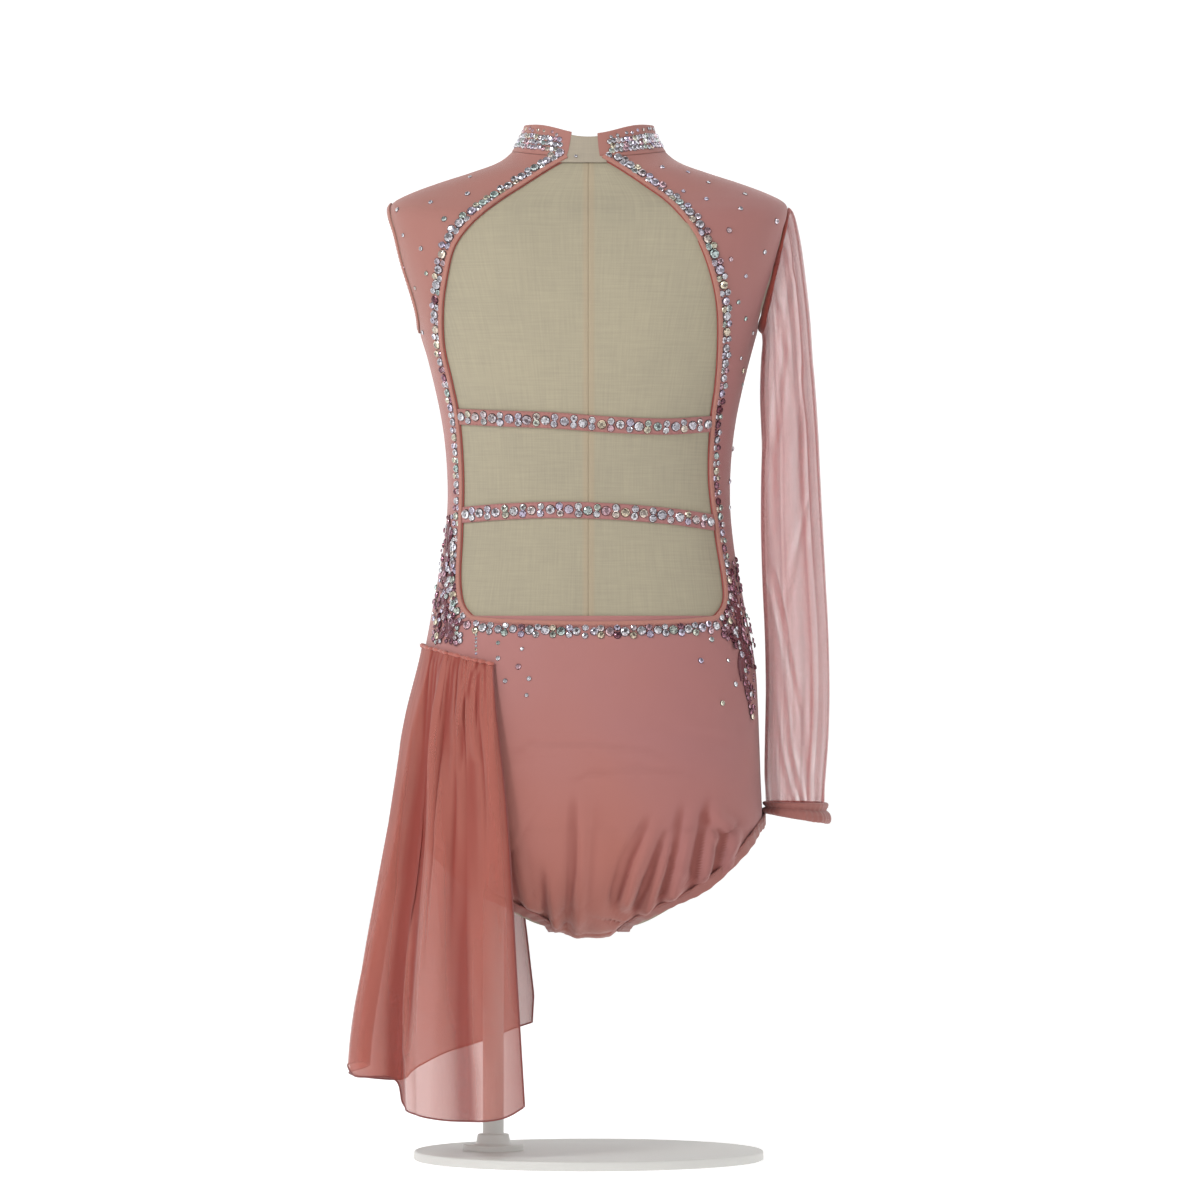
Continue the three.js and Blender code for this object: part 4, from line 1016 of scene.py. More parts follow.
def copies(name, copy, points, out, along, size, finish, seed=1, **values):
    """Sets a copy of a small mesh on each point and gives the whole as one plain mesh object."""
    count = len(points)
    mesh = bpy.data.meshes.new(name + "_points")
    mesh.from_pydata(to_metres(points).tolist(), [], [])
    size = np.broadcast_to(np.asarray(size, float).reshape(count, -1), (count, 3))
    for key, value in (("out", out), ("along", along), ("size", size * MM)):
        attribute = mesh.attributes.new(key, "FLOAT_VECTOR", "POINT")
        attribute.data.foreach_set("vector", np.ascontiguousarray(value, float).ravel())
    for key, value in values.items():
        mesh.attributes.new(key, "FLOAT", "POINT").data.foreach_set("value", np.asarray(value, float))
    carrier = placed(name + "_points", mesh)
    tree = copies_tree(name + "_nodes", finish)
    modifier = carrier.modifiers.new("copies", "NODES")
    modifier.node_group = tree
    for key, value in (("Copy", copy), ("Size", 1.0), ("Seed", seed)):
        modifier[socket_named(tree, key)] = value
    view = bpy.context.evaluated_depsgraph_get()
    view.update()
    result = bpy.data.meshes.new_from_object(carrier.evaluated_get(view), depsgraph=view)
    bpy.data.objects.remove(carrier)
    bpy.data.node_groups.remove(tree)
    result.name = name
    if not len(result.polygons):
        raise RuntimeError(f"{name} came out empty")
    return placed(name, result)


def small_mesh(name, points, faces, rim=()):
    """An object to copy, which isn't in the scene. Rim is a painted brightness for each face, standing in for
    its light and shade.
    """
    mesh = bpy.data.meshes.new(name)
    mesh.from_pydata(points, [], faces)
    if rim:
        mesh.attributes.new("rim", "FLOAT", "FACE").data.foreach_set("value", rim)
    return bpy.data.objects.new(name, mesh)


def circle(radius, sides, turn=0.0):
    """Places on a circle round zero, turned on by a part of a side."""
    angles = [TURN * (i + turn) / sides for i in range(sides)]
    return [(radius * math.cos(angle), radius * math.sin(angle)) for angle in angles]


def counted(sides):
    """The number of a point by its ring and its place on the ring."""
    return lambda ring, i: ring * sides + i % sides


def crystal_copy():
    """A flat-backed stone one unit across: a girdle, two rows of facets and a table."""
    sides = 10
    rings = ((0.58, 0.0, 0.0), (0.49, 0.1, 0.0), (0.4, 0.27, 0.5), (0.2, 0.34, 0.0))
    points = [(*spot, height) for radius, height, turn in rings for spot in circle(radius, sides, turn)]
    at, faces, rim = counted(sides), [], []
    for i in range(sides):
        faces.append((at(0, i), at(0, i + 1), at(1, i + 1), at(1, i)))
        faces += [(at(1, i), at(1, i + 1), at(2, i)), (at(1, i + 1), at(2, i + 1), at(2, i))]
        faces += [(at(2, i), at(3, i + 1), at(3, i)), (at(2, i), at(2, i + 1), at(3, i + 1))]
        # Painted light for each face: a painted shadow ring at the girdle, the lower crown lit, its upper
        # facets less and the table not.
        rim += [-1.0, 1.0, 1.0, 0.25, 0.25]
    faces += [tuple(at(3, i) for i in range(sides)), tuple(at(0, i) for i in reversed(range(sides)))]
    return small_mesh("crystal_copy", points, faces, rim + [0.0, 0.0])


def bead_copy():
    """A low dome one unit across."""
    sides = 6
    rings = ((0.4, 0.0), (0.5, 0.2), (0.3, 0.45))
    points = [(*spot, height) for radius, height in rings for spot in circle(radius, sides)] + [(0, 0, 0.52)]
    at, faces = counted(sides), []
    for i in range(sides):
        for ring in (0, 1):
            faces.append((at(ring, i), at(ring, i + 1), at(ring + 1, i + 1), at(ring + 1, i)))
        faces.append((at(2, i), at(2, i + 1), 3 * sides))
    faces.append(tuple(at(0, i) for i in reversed(range(sides))))
    return small_mesh("bead_copy", points, faces)


def stitch_copy():
    """A stitch one unit long and one unit wide: a low arch of thread."""
    sides = 6
    rings = ((-0.5, 0.15, -0.1), (-0.35, 0.42, 0.25), (0.0, 0.5, 0.45), (0.35, 0.42, 0.25), (0.5, 0.15, -0.1))
    points = [(x, side, height + rise) for x, radius, height in rings for side, rise in circle(radius, sides)]
    at, faces = counted(sides), []
    for ring in range(len(rings) - 1):
        for i in range(sides):
            faces.append((at(ring, i), at(ring, i + 1), at(ring + 1, i + 1), at(ring + 1, i)))
    faces += [tuple(at(0, i) for i in reversed(range(sides))), tuple(at(4, i) for i in range(sides))]
    return small_mesh("stitch_copy", points, [face[::-1] for face in faces])


# ---- leotard --------

KNIT_OUT = 2.4  # the leotard's outer face, out from the figure
ON_KNIT = KNIT_OUT + 0.15
ON_CLOTH = KNIT_OUT + 0.1  # the flat backs of single crystals
SIDE_COLUMNS = 26  # cells of the back panel on each side of the open back
SEAT_COLUMNS = 104  # cells of the back panel below the open back
SEAT_ROWS = 136
SIDE_ROWS = 170
FRONT_ROWS = 250
FRONT_COLUMNS = 131
PINCHES = 44  # gathers round a leg opening


def creases(x, height, folds):
    """How far soft creases move the cloth out: each a trough with a lower ridge on its right."""
    out = np.zeros_like(x)
    for line, depth, spread in folds:
        line = np.array(line, float)
        runs, places = np.diff(line, axis=0), lengths_along(line)
        nearest, side, along = np.full(x.shape, 1e6), np.zeros_like(x), np.zeros_like(x)
        for (x0, h0), run, start in zip(line, runs, places):
            length = np.linalg.norm(run)
            part = np.clip(((x - x0) * run[0] + (height - h0) * run[1]) / length**2, 0, 1)
            gap = np.hypot(x - x0 - part * run[0], height - h0 - part * run[1])
            cross = ((x - x0) * run[1] - (height - h0) * run[0]) / length
            nearer = gap < nearest
            side, along = np.where(nearer, cross, side), np.where(nearer, start + part * length, along)
            nearest = np.minimum(gap, nearest)
        beyond = np.sqrt(np.maximum(nearest**2 - side**2, 0))
        fade = (1 - 0.75 * (along / places[-1]) ** 1.5) * bell(beyond, 9.0)
        out += depth * fade * (bell(side, spread) - 0.7 * bell(side - 1.7 * spread, 1.2 * spread))
    return out


def settled(out, least=-0.9):
    """Keeps cloth from sinking further than it can."""
    return np.where(out < 0, least * (1 - np.exp(np.minimum(out, 0) / -least)), out)


def pleats(along, down, seed, count, depth, last):
    """Uneven rounded pleats side by side, from 0 to 1 along, that fade out at uneven places down."""
    random = np.random.default_rng(seed)
    edges = np.concatenate([[0], np.cumsum(random.uniform(0.6, 1.5, count))])
    edges /= edges[-1]
    number = np.interp(along, edges, np.arange(count + 1))
    swell = np.interp(along, edges, random.uniform(0.55, 1.3, count + 1))
    fade = np.interp(along, edges, random.uniform(*last, count + 1))
    shape = np.abs(np.sin(math.pi * number)) ** 0.75 - 0.55
    return depth * swell * shape * (1 - ease(0.3, 1.0, down / fade))


def leg_route(side):
    """Down the back of a leg opening from the hip, under the crotch and up its front."""
    levels = level_at(LEG_TOP) * np.linspace(0, 1, 140) ** 1.3
    heights = FIGURE.at("height", levels)
    back = edge_turn(heights, False)
    front = math.pi - edge_turn(heights, True)
    level = np.concatenate([levels[::-1], levels[1:]])
    turn = np.concatenate([back[::-1], front[1:]])
    turn[0] = turn[-1] = QUARTER
    return Route(level, side * turn, ring=True, straight=True)


def near_line(points, line, reach):
    """The distance from each point to a line of points, up to a reach, and where along it that is."""
    places = lengths_along(line)
    flat = points.reshape(-1, 3)
    distance, along = np.full(len(flat), 1e6), np.zeros(len(flat))
    low, high = line.min(0) - reach, line.max(0) + reach
    near = np.nonzero(((flat > low) & (flat < high)).all(1))[0]
    for start in range(0, len(near), 3000):
        some = near[start : start + 3000]
        gaps = np.linalg.norm(flat[some, None] - line[None], axis=-1)
        best = gaps.argmin(1)
        distance[some], along[some] = gaps[np.arange(len(some)), best], places[best]
    return distance.reshape(points.shape[:-1]), along.reshape(points.shape[:-1])


def leg_gathers(points, seed):
    """How far the gathers at the leg openings move the cloth out."""
    random = np.random.default_rng(seed)
    out = np.zeros(points.shape[:-1])
    for side in (-1, 1):
        route = leg_route(side)
        distance, along = near_line(points, route.line, 100)
        pinches = np.cumsum(random.uniform(9, 31, PINCHES))
        count = np.interp(along, pinches, np.arange(PINCHES))
        swell = np.interp(along, pinches, random.uniform(1.6, 5.0, PINCHES))
        reach = np.interp(along, pinches, random.uniform(16, 62, PINCHES))
        puff = np.abs(np.sin(math.pi * count)) ** 0.6
        fine = np.sin(TURN * (along / 4.7 + 0.4 * np.sin(along / 9)))
        free = ease(5, 15, distance)
        out += swell * (puff - 0.3) * bell(distance, reach) * free
        out += 3.0 * bell(distance, 60) * free + 0.35 * fine * bell(distance, 15)
    return out * (1 - 0.85 * ease(108, 138, np.abs(points[..., 0])))


def back_grid():
    """Levels and turns of the back panel, and which cells the open back leaves out."""
    foot, top = level_at(OPEN_BACK_FOOT), level_at(NECK_ROW)
    levels = np.concatenate([np.linspace(0, foot, SEAT_ROWS), np.linspace(foot, top, SIDE_ROWS)[1:]])
    nominal = FIGURE.at("height", levels)[:, None]
    edge, at_foot = edge_turn(nominal, False), np.maximum(nominal, OPEN_BACK_FOOT)
    left, right = open_edge(at_foot, "left"), open_edge(at_foot, "right")
    there = edge_turn(at_foot, False)
    side = np.linspace(0, 1, SIDE_COLUMNS + 1)[None]
    seat = np.linspace(0, 1, SEAT_COLUMNS + 1)[None]
    parts = [mix(-there, left, side[:, :-1]), mix(left, right, seat), mix(right, there, side[:, 1:])]
    turn = np.concatenate(parts, 1) * edge / there
    in_seat = np.concatenate([0 * side[:, :-1], seat, 1 + 0 * side[:, 1:]], 1)
    sag = OPEN_BACK_SAG * np.sin(math.pi * in_seat.clip(0, 1)).clip(0, 1) ** 0.7
    height = row_height(nominal, turn)
    height = height - sag * ease(370, OPEN_BACK_FOOT, nominal) * (nominal <= OPEN_BACK_FOOT)
    cell_row, cell_column = np.mgrid[0 : len(levels) - 1, 0 : turn.shape[1] - 1]
    in_hole = (cell_column >= SIDE_COLUMNS) & (cell_column < SIDE_COLUMNS + SEAT_COLUMNS)
    return level_at(height), turn, (cell_row >= SEAT_ROWS - 1) & in_hole


def side_seam_out(points):
    """The knit dips at the side seams."""
    return -0.5 * bell(points[..., 1], 1.6) * ease(250, 262, points[..., 2])


def front_grid():
    """Levels and turns of the front panel."""
    levels = np.linspace(0, level_at(NECK_ROW), FRONT_ROWS)
    nominal = FIGURE.at("height", levels)[:, None]
    edge = edge_turn(nominal, True)
    turn = mix(math.pi - edge, math.pi + edge, np.linspace(0, 1, FRONT_COLUMNS)[None])
    return level_at(row_height(nominal, turn)), turn


def open_back_route():
    """Round the open back: down its left edge, along its foot and up its right edge."""
    heights = np.linspace(OPEN_BACK_FOOT, OPEN_BACK_TOP, 240)
    left, right = open_edge(heights, "left"), open_edge(heights, "right")
    across = np.linspace(0, 1, 120)[1:-1]
    foot = OPEN_BACK_FOOT - OPEN_BACK_SAG * np.sin(math.pi * across) ** 0.7
    level = np.concatenate([level_at(heights)[::-1], level_at(foot), level_at(heights)])
    turn = np.concatenate([left[::-1], mix(left[0], right[0], across), right])
    return Route(level, turn)


def armhole_route(side):
    """Round an armhole, up its back and down its front."""
    rise = np.sin(np.linspace(-QUARTER, QUARTER, 90))
    middle, half = (UNDERARM + SHOULDER_TIP) / 2, (SHOULDER_TIP - UNDERARM) / 2
    heights = middle + half * rise
    back, front = edge_turn(heights, False), edge_turn(heights, True)
    level = np.concatenate([level_at(heights), level_at(heights)[::-1][1:]])
    turn = np.concatenate([back, math.pi - front[::-1][1:]])
    return Route(level, side * turn, ring=True)


def ribbon(name, route, beside, half_width, out, half_thick, count, ripple=None):
    """A flat band that follows a route, beside it and out from the figure, with round edges."""
    distance = np.linspace(0, route.length, count, endpoint=not route.ring)[:, None]
    section = stadium(half_width, half_thick)
    across, lift = beside + section[None, :, 0], out + section[None, :, 1]
    if ripple is not None:
        across, lift = ripple(distance, across, lift)
    return loft(name, route.place(distance, across, lift)[0], ring=route.ring)


def stitches_on(route, beside, out, pitch=3.4, zigzag=0.0):
    """Points, directions and sizes of a row of stitches beside a route."""
    length = millimetres("stitch")
    distance = np.arange(pitch, route.length - pitch, pitch)
    flip = np.where(np.arange(len(distance)) % 2 == 0, 1.0, -1.0)[:, None]
    point, normal, along = route.place(distance, beside, out)
    way = unit(along + np.cross(normal, along) * zigzag * flip)
    return point, normal, way, np.tile([length, 0.5, 0.5], (len(distance), 1))


def collar_place(turn, up, out):
    """A point of the collar: up is 0 at the neck seam and 1 at the top edge."""
    low, high = round_height(NECK_SEAM, turn) + 0.4, round_height(COLLAR_TOP, turn)
    high = mix(COLLAR_TOP["side"], high, np.cos(turn) ** 4)
    return lifted(level_at(mix(low, high, up)), turn, out)


def collar_turns():
    """The turns of the collar's ends: the right one, and the left one after going round the front."""
    left, right = (turn_at_x(level_at(COLLAR_TOP["back"]), x) for x in COLLAR_ENDS)
    return right, TURN + left


def collar_band(name, start, end, count, out, half_thick, wave=0.0, low=0.0, high=1.0):
    """A band that follows the collar from turn to turn, between a low and a high place up it."""
    turns = np.linspace(start, end, count)[:, None]
    height = 21.0
    points = stadium(height / 2, half_thick, sides=10, ends=6)
    up = mix(low, high, points[:, 0] / height + 0.5)
    ripple = wave * np.sin(turns * 9 + 1) * ease(0.4, 1, up)[None]
    return loft(name, collar_place(turns + 0 * up, up[None] + 0 * turns, out + points[None, :, 1] + ripple))


class DRESS_OT_leotard(bpy.types.Operator):
    """Builds the front and back of the leotard with its bands, bindings and straps"""

    bl_idname = "dress.leotard"
    bl_label = "Leotard"

    def execute(self, context):
        wall = millimetres("knit_wall")
        level, turn, hole = back_grid()
        back = self.panel("back", level, turn, wall, SEAT_FOLDS, 11, hole)
        front = self.panel("front", *front_grid(), wall, FRONT_FOLDS, 23)

        width = millimetres("binding_width")
        route = open_back_route()
        binding = ribbon("open_back_binding", route, 0.4 - width / 2, width / 2, ON_KNIT + 0.35, 0.95, 900)
        belongs(binding, "binding", "trim", "opening_binding")
        # A dark strip just inside the open back's edge: partly its facing, partly a painted shadow in the gap
        # under the binding.
        facing_and_shadow = belongs(ribbon("open_back_facing", route, 0.3, 0.6, 1.2, 0.35, 520), "seam", "trim")

        band_width = millimetres("leg_band")
        for side, name in ((-1, "left"), (1, "right")):
            phase = np.random.default_rng(40 + side).uniform(0, 6, 3)

            def gathered(distance, across, lift, phase=phase):
                wave = np.sin(distance / 2.1 + phase[0] + 1.4 * np.sin(distance / 17 + phase[1]))
                slow = np.sin(distance / 8.5 + phase[2])
                return across * (1 + 0.05 * slow), lift + 0.36 * wave + 0.6 * slow

            middle = -side * (band_width / 2 - 3.4)
            band = (middle, band_width / 2, ON_KNIT + 1.0, 1.0, 700, gathered)
            made = ribbon(f"leg_elastic_{name}", leg_route(side), *band)
            belongs(made, "band", "trim", f"leg_band_{name}")
        armhole = ribbon("armhole_edge", armhole_route(-1), 2.0, 2.5, ON_KNIT + 0.8, 0.9, 320)
        belongs(armhole, "binding", "trim", "armhole_binding")

        straps, half = [], millimetres("strap_width") / 2
        for name, heights in (("strap_upper", STRAP_UPPER), ("strap_lower", STRAP_LOWER)):
            made = ribbon(f"{name}_knit", strap_route(heights), 0, half, 1.7, 0.7, 240)
            straps.append(belongs(made, "knit", "knit", name))

        for strap in straps:
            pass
        return {"FINISHED"}

    def panel(self, name, level, turn, wall, folds, seed, hole=None):
        """The front or the back of the leotard with its folds and the gathers at the leg openings."""
        bare = figure(level, turn)
        out = creases(bare[..., 0], bare[..., 2], folds) + leg_gathers(bare, seed) + side_seam_out(bare)
        out = settled(out)
        # The fold value is how far the knit stands out or in; the knit finish paints it as shade in the
        # creases.
        values = {"fold": relief(out, 7, 1.4)}
        made = thin_cloth(f"{name}_knit", lifted(level, turn, KNIT_OUT + out), wall, hole=hole, values=values)
        return belongs(made, "knit", "knit", f"{name}_body")


def strap_route(heights):
    """The middle line of a strap, from the open back's left edge to its right edge."""
    table = Table("height", [[h] for h in heights])
    along = np.linspace(0, 1, 120)
    height = table.at("height", along * (len(heights) - 1))
    gap = 0.004
    left, right = open_edge(height, "left") + gap, open_edge(height, "right") - gap
    return Route(level_at(height), mix(left, right, along))


class DRESS_OT_collar(bpy.types.Operator):
    """Builds the stand-up collar and its hook tape"""

    bl_idname = "dress.collar"
    bl_label = "Collar"

    def execute(self, context):
        start, end = collar_turns()
        collar = collar_band("collar_knit", start, end, 220, 2.0, 0.95, 0.25)
        belongs(collar, "knit", "knit", "collar")
        tab = collar_band("hook_tape", end - TURN - 0.06, start + 0.06, 30, 1.9, 0.6, low=-0.24, high=0.88)
        belongs(tab, "tape", "tape", "collar_tab")
        return {"FINISHED"}


# ---- sleeve --------


def sleeve_points(table, place, around, out=0.0, folds=()):
    """Points of the sleeve: place counts the rows of its table, around is 0 at the outer edge."""
    to_outer = np.cos(TURN * around)
    down = place / (len(table.rows) - 1)
    fold = 0 * (around + down)
    for at, drift, depth, spread, start, end in folds:
        gap = (around - at - drift * down + 0.5) % 1 - 0.5
        fading = 1 - 0.8 * ease(end - 0.15, end, down)
        fold = fold + depth * bell(gap, spread) * ease(start, start + 0.12, down) * fading
    get = lambda name: table.at(name, place)
    middle = (get("outer") + get("inner")) / 2
    half = (get("outer") - get("inner")) / 2 + out + fold * np.abs(to_outer)
    depth = -(get("reach") + out + fold) * np.sin(TURN * around)
    height = mix(get("outer_height"), get("inner_height"), (1 - to_outer) / 2)
    return np.stack(np.broadcast_arrays(middle + half * to_outer, depth, height), -1)


def tube_grid(rows, columns):
    """How far down and how far round the places of a tube's grid are, each from 1 to 0."""
    return np.linspace(1, 0, rows)[:, None], (1 - np.arange(columns) / columns)[None]


def sleeve_wrinkles(points, down, around):
    """Long soft pleats, and short creases on the back, above the cuff and under the arm."""
    x, height = points[..., 0], points[..., 2]
    back = points[..., 1] < 0
    out = np.where(back, creases(x, height, SLEEVE_BACK_FOLDS), creases(x, height, SLEEVE_FRONT_FOLDS))
    out += pleats(around, down, 31, 11, 2.6, (0.4, 2.4)) + pleats(around, 1 - down, 37, 17, 1.8, (0.1, 0.45))
    ripple = np.sin(TURN * (around * 15 + 0.35 * np.sin(around * 23)))
    out += 0.8 * ripple * ease(0.93, 1.0, down)
    out += 0.9 * np.sin(TURN * (around * 11 + 0.3 * np.sin(around * 17))) * (1 - ease(0, 0.09, down))
    return out


class DRESS_OT_sleeve(bpy.types.Operator):
    """Builds the sheer sleeve with its armhole seam and cuff"""

    bl_idname = "dress.sleeve"
    bl_label = "Sleeve"

    def execute(self, context):
        wall = millimetres("sheer_wall")
        down, around = tube_grid(190, 170)
        place = down * (len(SLEEVE.rows) - 1)
        bare = sleeve_points(SLEEVE, place, around, 0.0, SLEEVE_FOLDS)
        out = sleeve_wrinkles(bare, down + 0 * around, around + 0 * down)
        inner = ease(-0.35, -0.75, np.cos(TURN * around)) * (0.75 + 0.25 * np.sin(9 * down + 1))
        thick = 0.75 * inner + 0.5 * (1 - ease(0.0, 0.2, down))
        # fold is the relief, which the mesh finish paints as shade in the folds and highlight on the ridges;
        # the thick inner side and top count as folded in, so they come out denser and deeper in colour.
        fold = np.clip(0.7 * relief(out, 10, 2.4) + 0.7 * relief(out, 4, 0.8) - thick, -1, 1)
        outer = bare + grid_normals(bare, True) * out[..., None]
        sleeve = thin_cloth("sleeve_mesh", outer, wall, ring=True, values={"fold": fold})
        belongs(sleeve, "mesh", "sheer_mesh", "sleeve")
        seam = belongs(self.seam(), "seam", "trim")
        cuff = self.cuff()
        return {"FINISHED"}

    def seam(self):
        """The armhole seam, an uneven roll round the top of the sleeve."""
        around = np.arange(160) / 160
        middle, below = (sleeve_points(SLEEVE, place, around, -0.4) for place in (0.25, 0.25 + 0.4))
        run = unit(np.roll(middle, -1, 0) - np.roll(middle, 1, 0))
        down = unit(below - middle)
        out = unit(np.cross(run, down))
        uneven = 0.45 + 0.75 * ease(0.08, 0.3, np.abs((around + 0.5) % 1 - 0.5))
        uneven *= 1 + 0.22 * np.sin(around * 40) * np.sin(around * 23 + 1)
        ring = [
            middle + (down * math.cos(a) * 1.7 + out * math.sin(a) * 0.8) * 1.9 * uneven[:, None]
            for a in np.linspace(0, TURN, 9)[:-1]
        ]
        return loft("sleeve_seam", np.stack(ring, 1), ring=True)

    def cuff(self):
        down, around = tube_grid(26, 200)
        bare = sleeve_points(CUFF, down * 2, around, 0.3)
        waves = 0.35 * np.sin(TURN * around * 34) + 0.5 * np.sin(TURN * (around * 9 + 0.2))
        roll = 3.0 * np.abs(np.sin(TURN * down**0.8)) ** 0.8
        outer = bare + grid_normals(bare, True) * (waves * (0.4 + 0.6 * down) + roll)[..., None]
        furrow = -bell(down - 0.42, 0.07) - 0.6 * bell(down, 0.08) + 0 * around
        made = thin_cloth("cuff_band", outer, 1.5, ring=True, values={"fold": furrow})
        return belongs(made, "band", "trim", "cuff")


# ---- half skirt --------


def skirt_plan(steps):
    """Heights, and at each the plan curve from its back edge round the left to its front, in even steps."""
    heights = np.linspace(0, 404, 102)
    plans = []
    for height in heights:
        get = lambda name: float(SKIRT.look_up("height", height, name))
        middle = get("middle")
        ring = (middle - get("left"), -get("back"), get("front"), 2.3)
        point = lambda turn: (middle - on_ring(*ring, turn)[0], on_ring(*ring, turn)[1])
        start = solve(lambda t: -point(t)[0], -get("back_edge"), 0, QUARTER)
        end = solve(lambda t: point(t)[0], get("front_edge"), QUARTER, math.pi)
        fine = np.stack(point(np.linspace(start, end, 700)), -1)
        lengths = lengths_along(fine)
        even = np.linspace(0, lengths[-1], steps + 1)
        plans.append(np.stack([np.interp(even, lengths, fine[:, k]) for k in (0, 1)], -1))
    return heights, np.array(plans)


def skirt_fold(along, down):
    """How far folds and gathers move the chiffon out."""
    out = 0 * (along + down)
    for top, hem, depth, spread, start, full in SKIRT_FOLDS:
        out = out + depth * bell(along - mix(top, hem, down), spread) * ease(start, full, down)
    out = out + pleats(along, down, 5, 40, 6.4, (0.1, 0.4))
    out = out + pleats(along, down, 8, 17, 6.4, (0.35, 1.1)) * ease(0.0, 0.1, down)
    return out + pleats(along, down, 13, 11, 5.0, (0.9, 2.4)) * ease(0.2, 0.7, down)


def skirt_grid(rows, columns):
    """The half skirt's outer face, hem first, and how far each place stands out or in among the folds."""
    along = np.linspace(0, 1, columns + 1)[None]
    down = np.linspace(1, 0, rows + 1)[:, None]
    seam_turn = mix(QUARTER * 0.4, math.pi - QUARTER * 0.4, along)
    top = round_height(SKIRT_SEAM, seam_turn)
    low = HEM.look_up("along", along, "height")
    height = mix(top, low, down**1.15)
    heights, plans = skirt_plan(columns)
    spot = np.clip(height / heights[-1] * (len(heights) - 1), 0, len(heights) - 1.001)
    i = np.floor(spot).astype(int)
    t = (spot - i)[..., None]
    column = np.broadcast_to(np.arange(columns + 1)[None], i.shape)
    plan = mix(plans[i, column], plans[i + 1, column], t)
    run = unit(np.gradient(plan, axis=1))
    normal = np.stack([-run[..., 1], run[..., 0]], -1)
    behind = ease(10, -30, plan[..., 1])
    out = skirt_fold(along, down) + creases(plan[..., 0], height + 0 * along, DRAPE_FOLDS) * behind
    lift = 2.2 + 4.6 * ease(0, 0.05, down) * (1 - 0.9 * ease(0.12, 0.4, down))
    room = np.interp(height, [200, 256, 320, 384], [30, 11, 5, 0.2]) + lift - 0.9
    # dark is the relief, which the chiffon finish paints as shade in the folds and highlight on the ridges.
    dark = np.clip(1.1 * relief(out, 9, 2.4) + relief(out, 46, 9), -1, 1)
    out = settled(out, -room)
    cap = mix(1.2, 5.5, ease(0.02, 0.3, down))
    soft = mix(1.5, 3.0, ease(0.02, 0.3, down))
    proud = np.minimum(lift + out, cap + soft * np.tanh((lift + out - cap) / soft))
    plan = plan + normal * proud[..., None]
    return np.concatenate([plan, height[..., None]], -1), dark


def edge_tube(name, line, radius, finish_name, uneven=0.0):
    """A thin roll along a line of points."""
    run = unit(np.gradient(line, axis=0))
    side = unit(np.cross(run, np.array([0.3, 0.2, 0.9])))
    up = np.cross(run, side)
    angles = np.linspace(0, TURN, 7)[:-1]
    places = lengths_along(line)
    wide = radius * (1 + uneven * np.sin(places / 1.7) * np.sin(places / 5.3))
    ring = [line + (side * math.cos(a) + up * math.sin(a)) * wide[:, None] for a in angles]
    return belongs(loft(name, np.stack(ring, 1)), finish_name, "chiffon")


class DRESS_OT_skirt(bpy.types.Operator):
    """Builds the gathered chiffon half skirt with its rolled hem"""

    bl_idname = "dress.skirt"
    bl_label = "Half skirt"

    def execute(self, context):
        wall = millimetres("chiffon_wall")
        grid, fold = skirt_grid(130, 330)
        skirt = thin_cloth("skirt_chiffon", grid[:, ::-1], wall, values={"fold": fold[:, ::-1]})
        belongs(skirt, "chiffon", "chiffon", "skirt_drape")
        free_edges = np.concatenate([grid[::-1, 0], grid[0, 1:], grid[1:, -1]])
        hem = edge_tube("skirt_hem", free_edges, 0.75, "hem")
        seam = edge_tube("skirt_gathers", grid[-1], 1.5, "gathers", 0.45)
        return {"FINISHED"}


# ---- lace, crystals and stitches --------


def on_leaf(x, height, points, length, along, side):
    """The level and turn of a place on a leaf: along it from the root, and to its side."""
    angle = math.radians(points)
    right = math.sin(angle) * length * along + math.cos(angle) * side
    up = math.cos(angle) * length * along - math.sin(angle) * side
    return besides(x, height, right, up)


def leaf_shell(name, x, height, points, length, width):
    """A domed leaf with a vein, on the leotard."""
    rows, columns = 12, 7
    along = np.linspace(0, 1, rows)[:, None]
    across = np.linspace(-1, 1, columns)[None]
    half = 0.5 * width * np.maximum(np.sin(math.pi * along**0.8), 0.08)
    level, turn = on_leaf(x, height, points, length, along, across * half)
    dome = 1.0 * (1 - across**2) * np.sin(math.pi * along) - 0.35 * bell(across, 0.16)
    base = lifted(level, turn, ON_KNIT + 0 * dome)
    return shell(name, lifted(level, turn, ON_KNIT + 0.7 + dome), base)


def lace_side(name, leaves, stem):
    """The lace of one hip, stem and leaves in one piece."""
    route = Route(*(np.array(v) for v in zip(*[besides(x, h) for x, h in stem])))
    parts = [ribbon(name + "_stem", route, 0, 1.6, ON_KNIT + 0.6, 0.7, 40)]
    for i, leaf in enumerate(leaves):
        parts.append(leaf_shell(f"{name}_leaf_{i}", *leaf))
    return join(name, parts)


def stones_on(route, pattern, start, end, pitch, out, random):
    """Crystals along a route. The pattern is a list of steps, each a list of (beside, size)."""
    rows = []
    for i, distance in enumerate(np.arange(start, end, pitch)):
        for beside, size in pattern[i % len(pattern)]:
            shift, slide, grow = random.normal(0, 0.25), random.normal(0, 0.35), random.uniform(0.92, 1.08)
            rows.append((*route.place(distance + slide, beside + shift, out), size * grow))
    return rows


def scatter(random, count, gap, x_range, height_range, allowed):
    """Places of scattered crystals, no closer than a gap."""
    kept = []
    for _ in range(count * 60):
        if len(kept) == count:
            break
        x, height = random.uniform(*x_range), random.uniform(*height_range)
        if allowed(x, height) and all(math.hypot(x - a, height - b) > gap for a, b in kept):
            kept.append((x, height))
    return kept


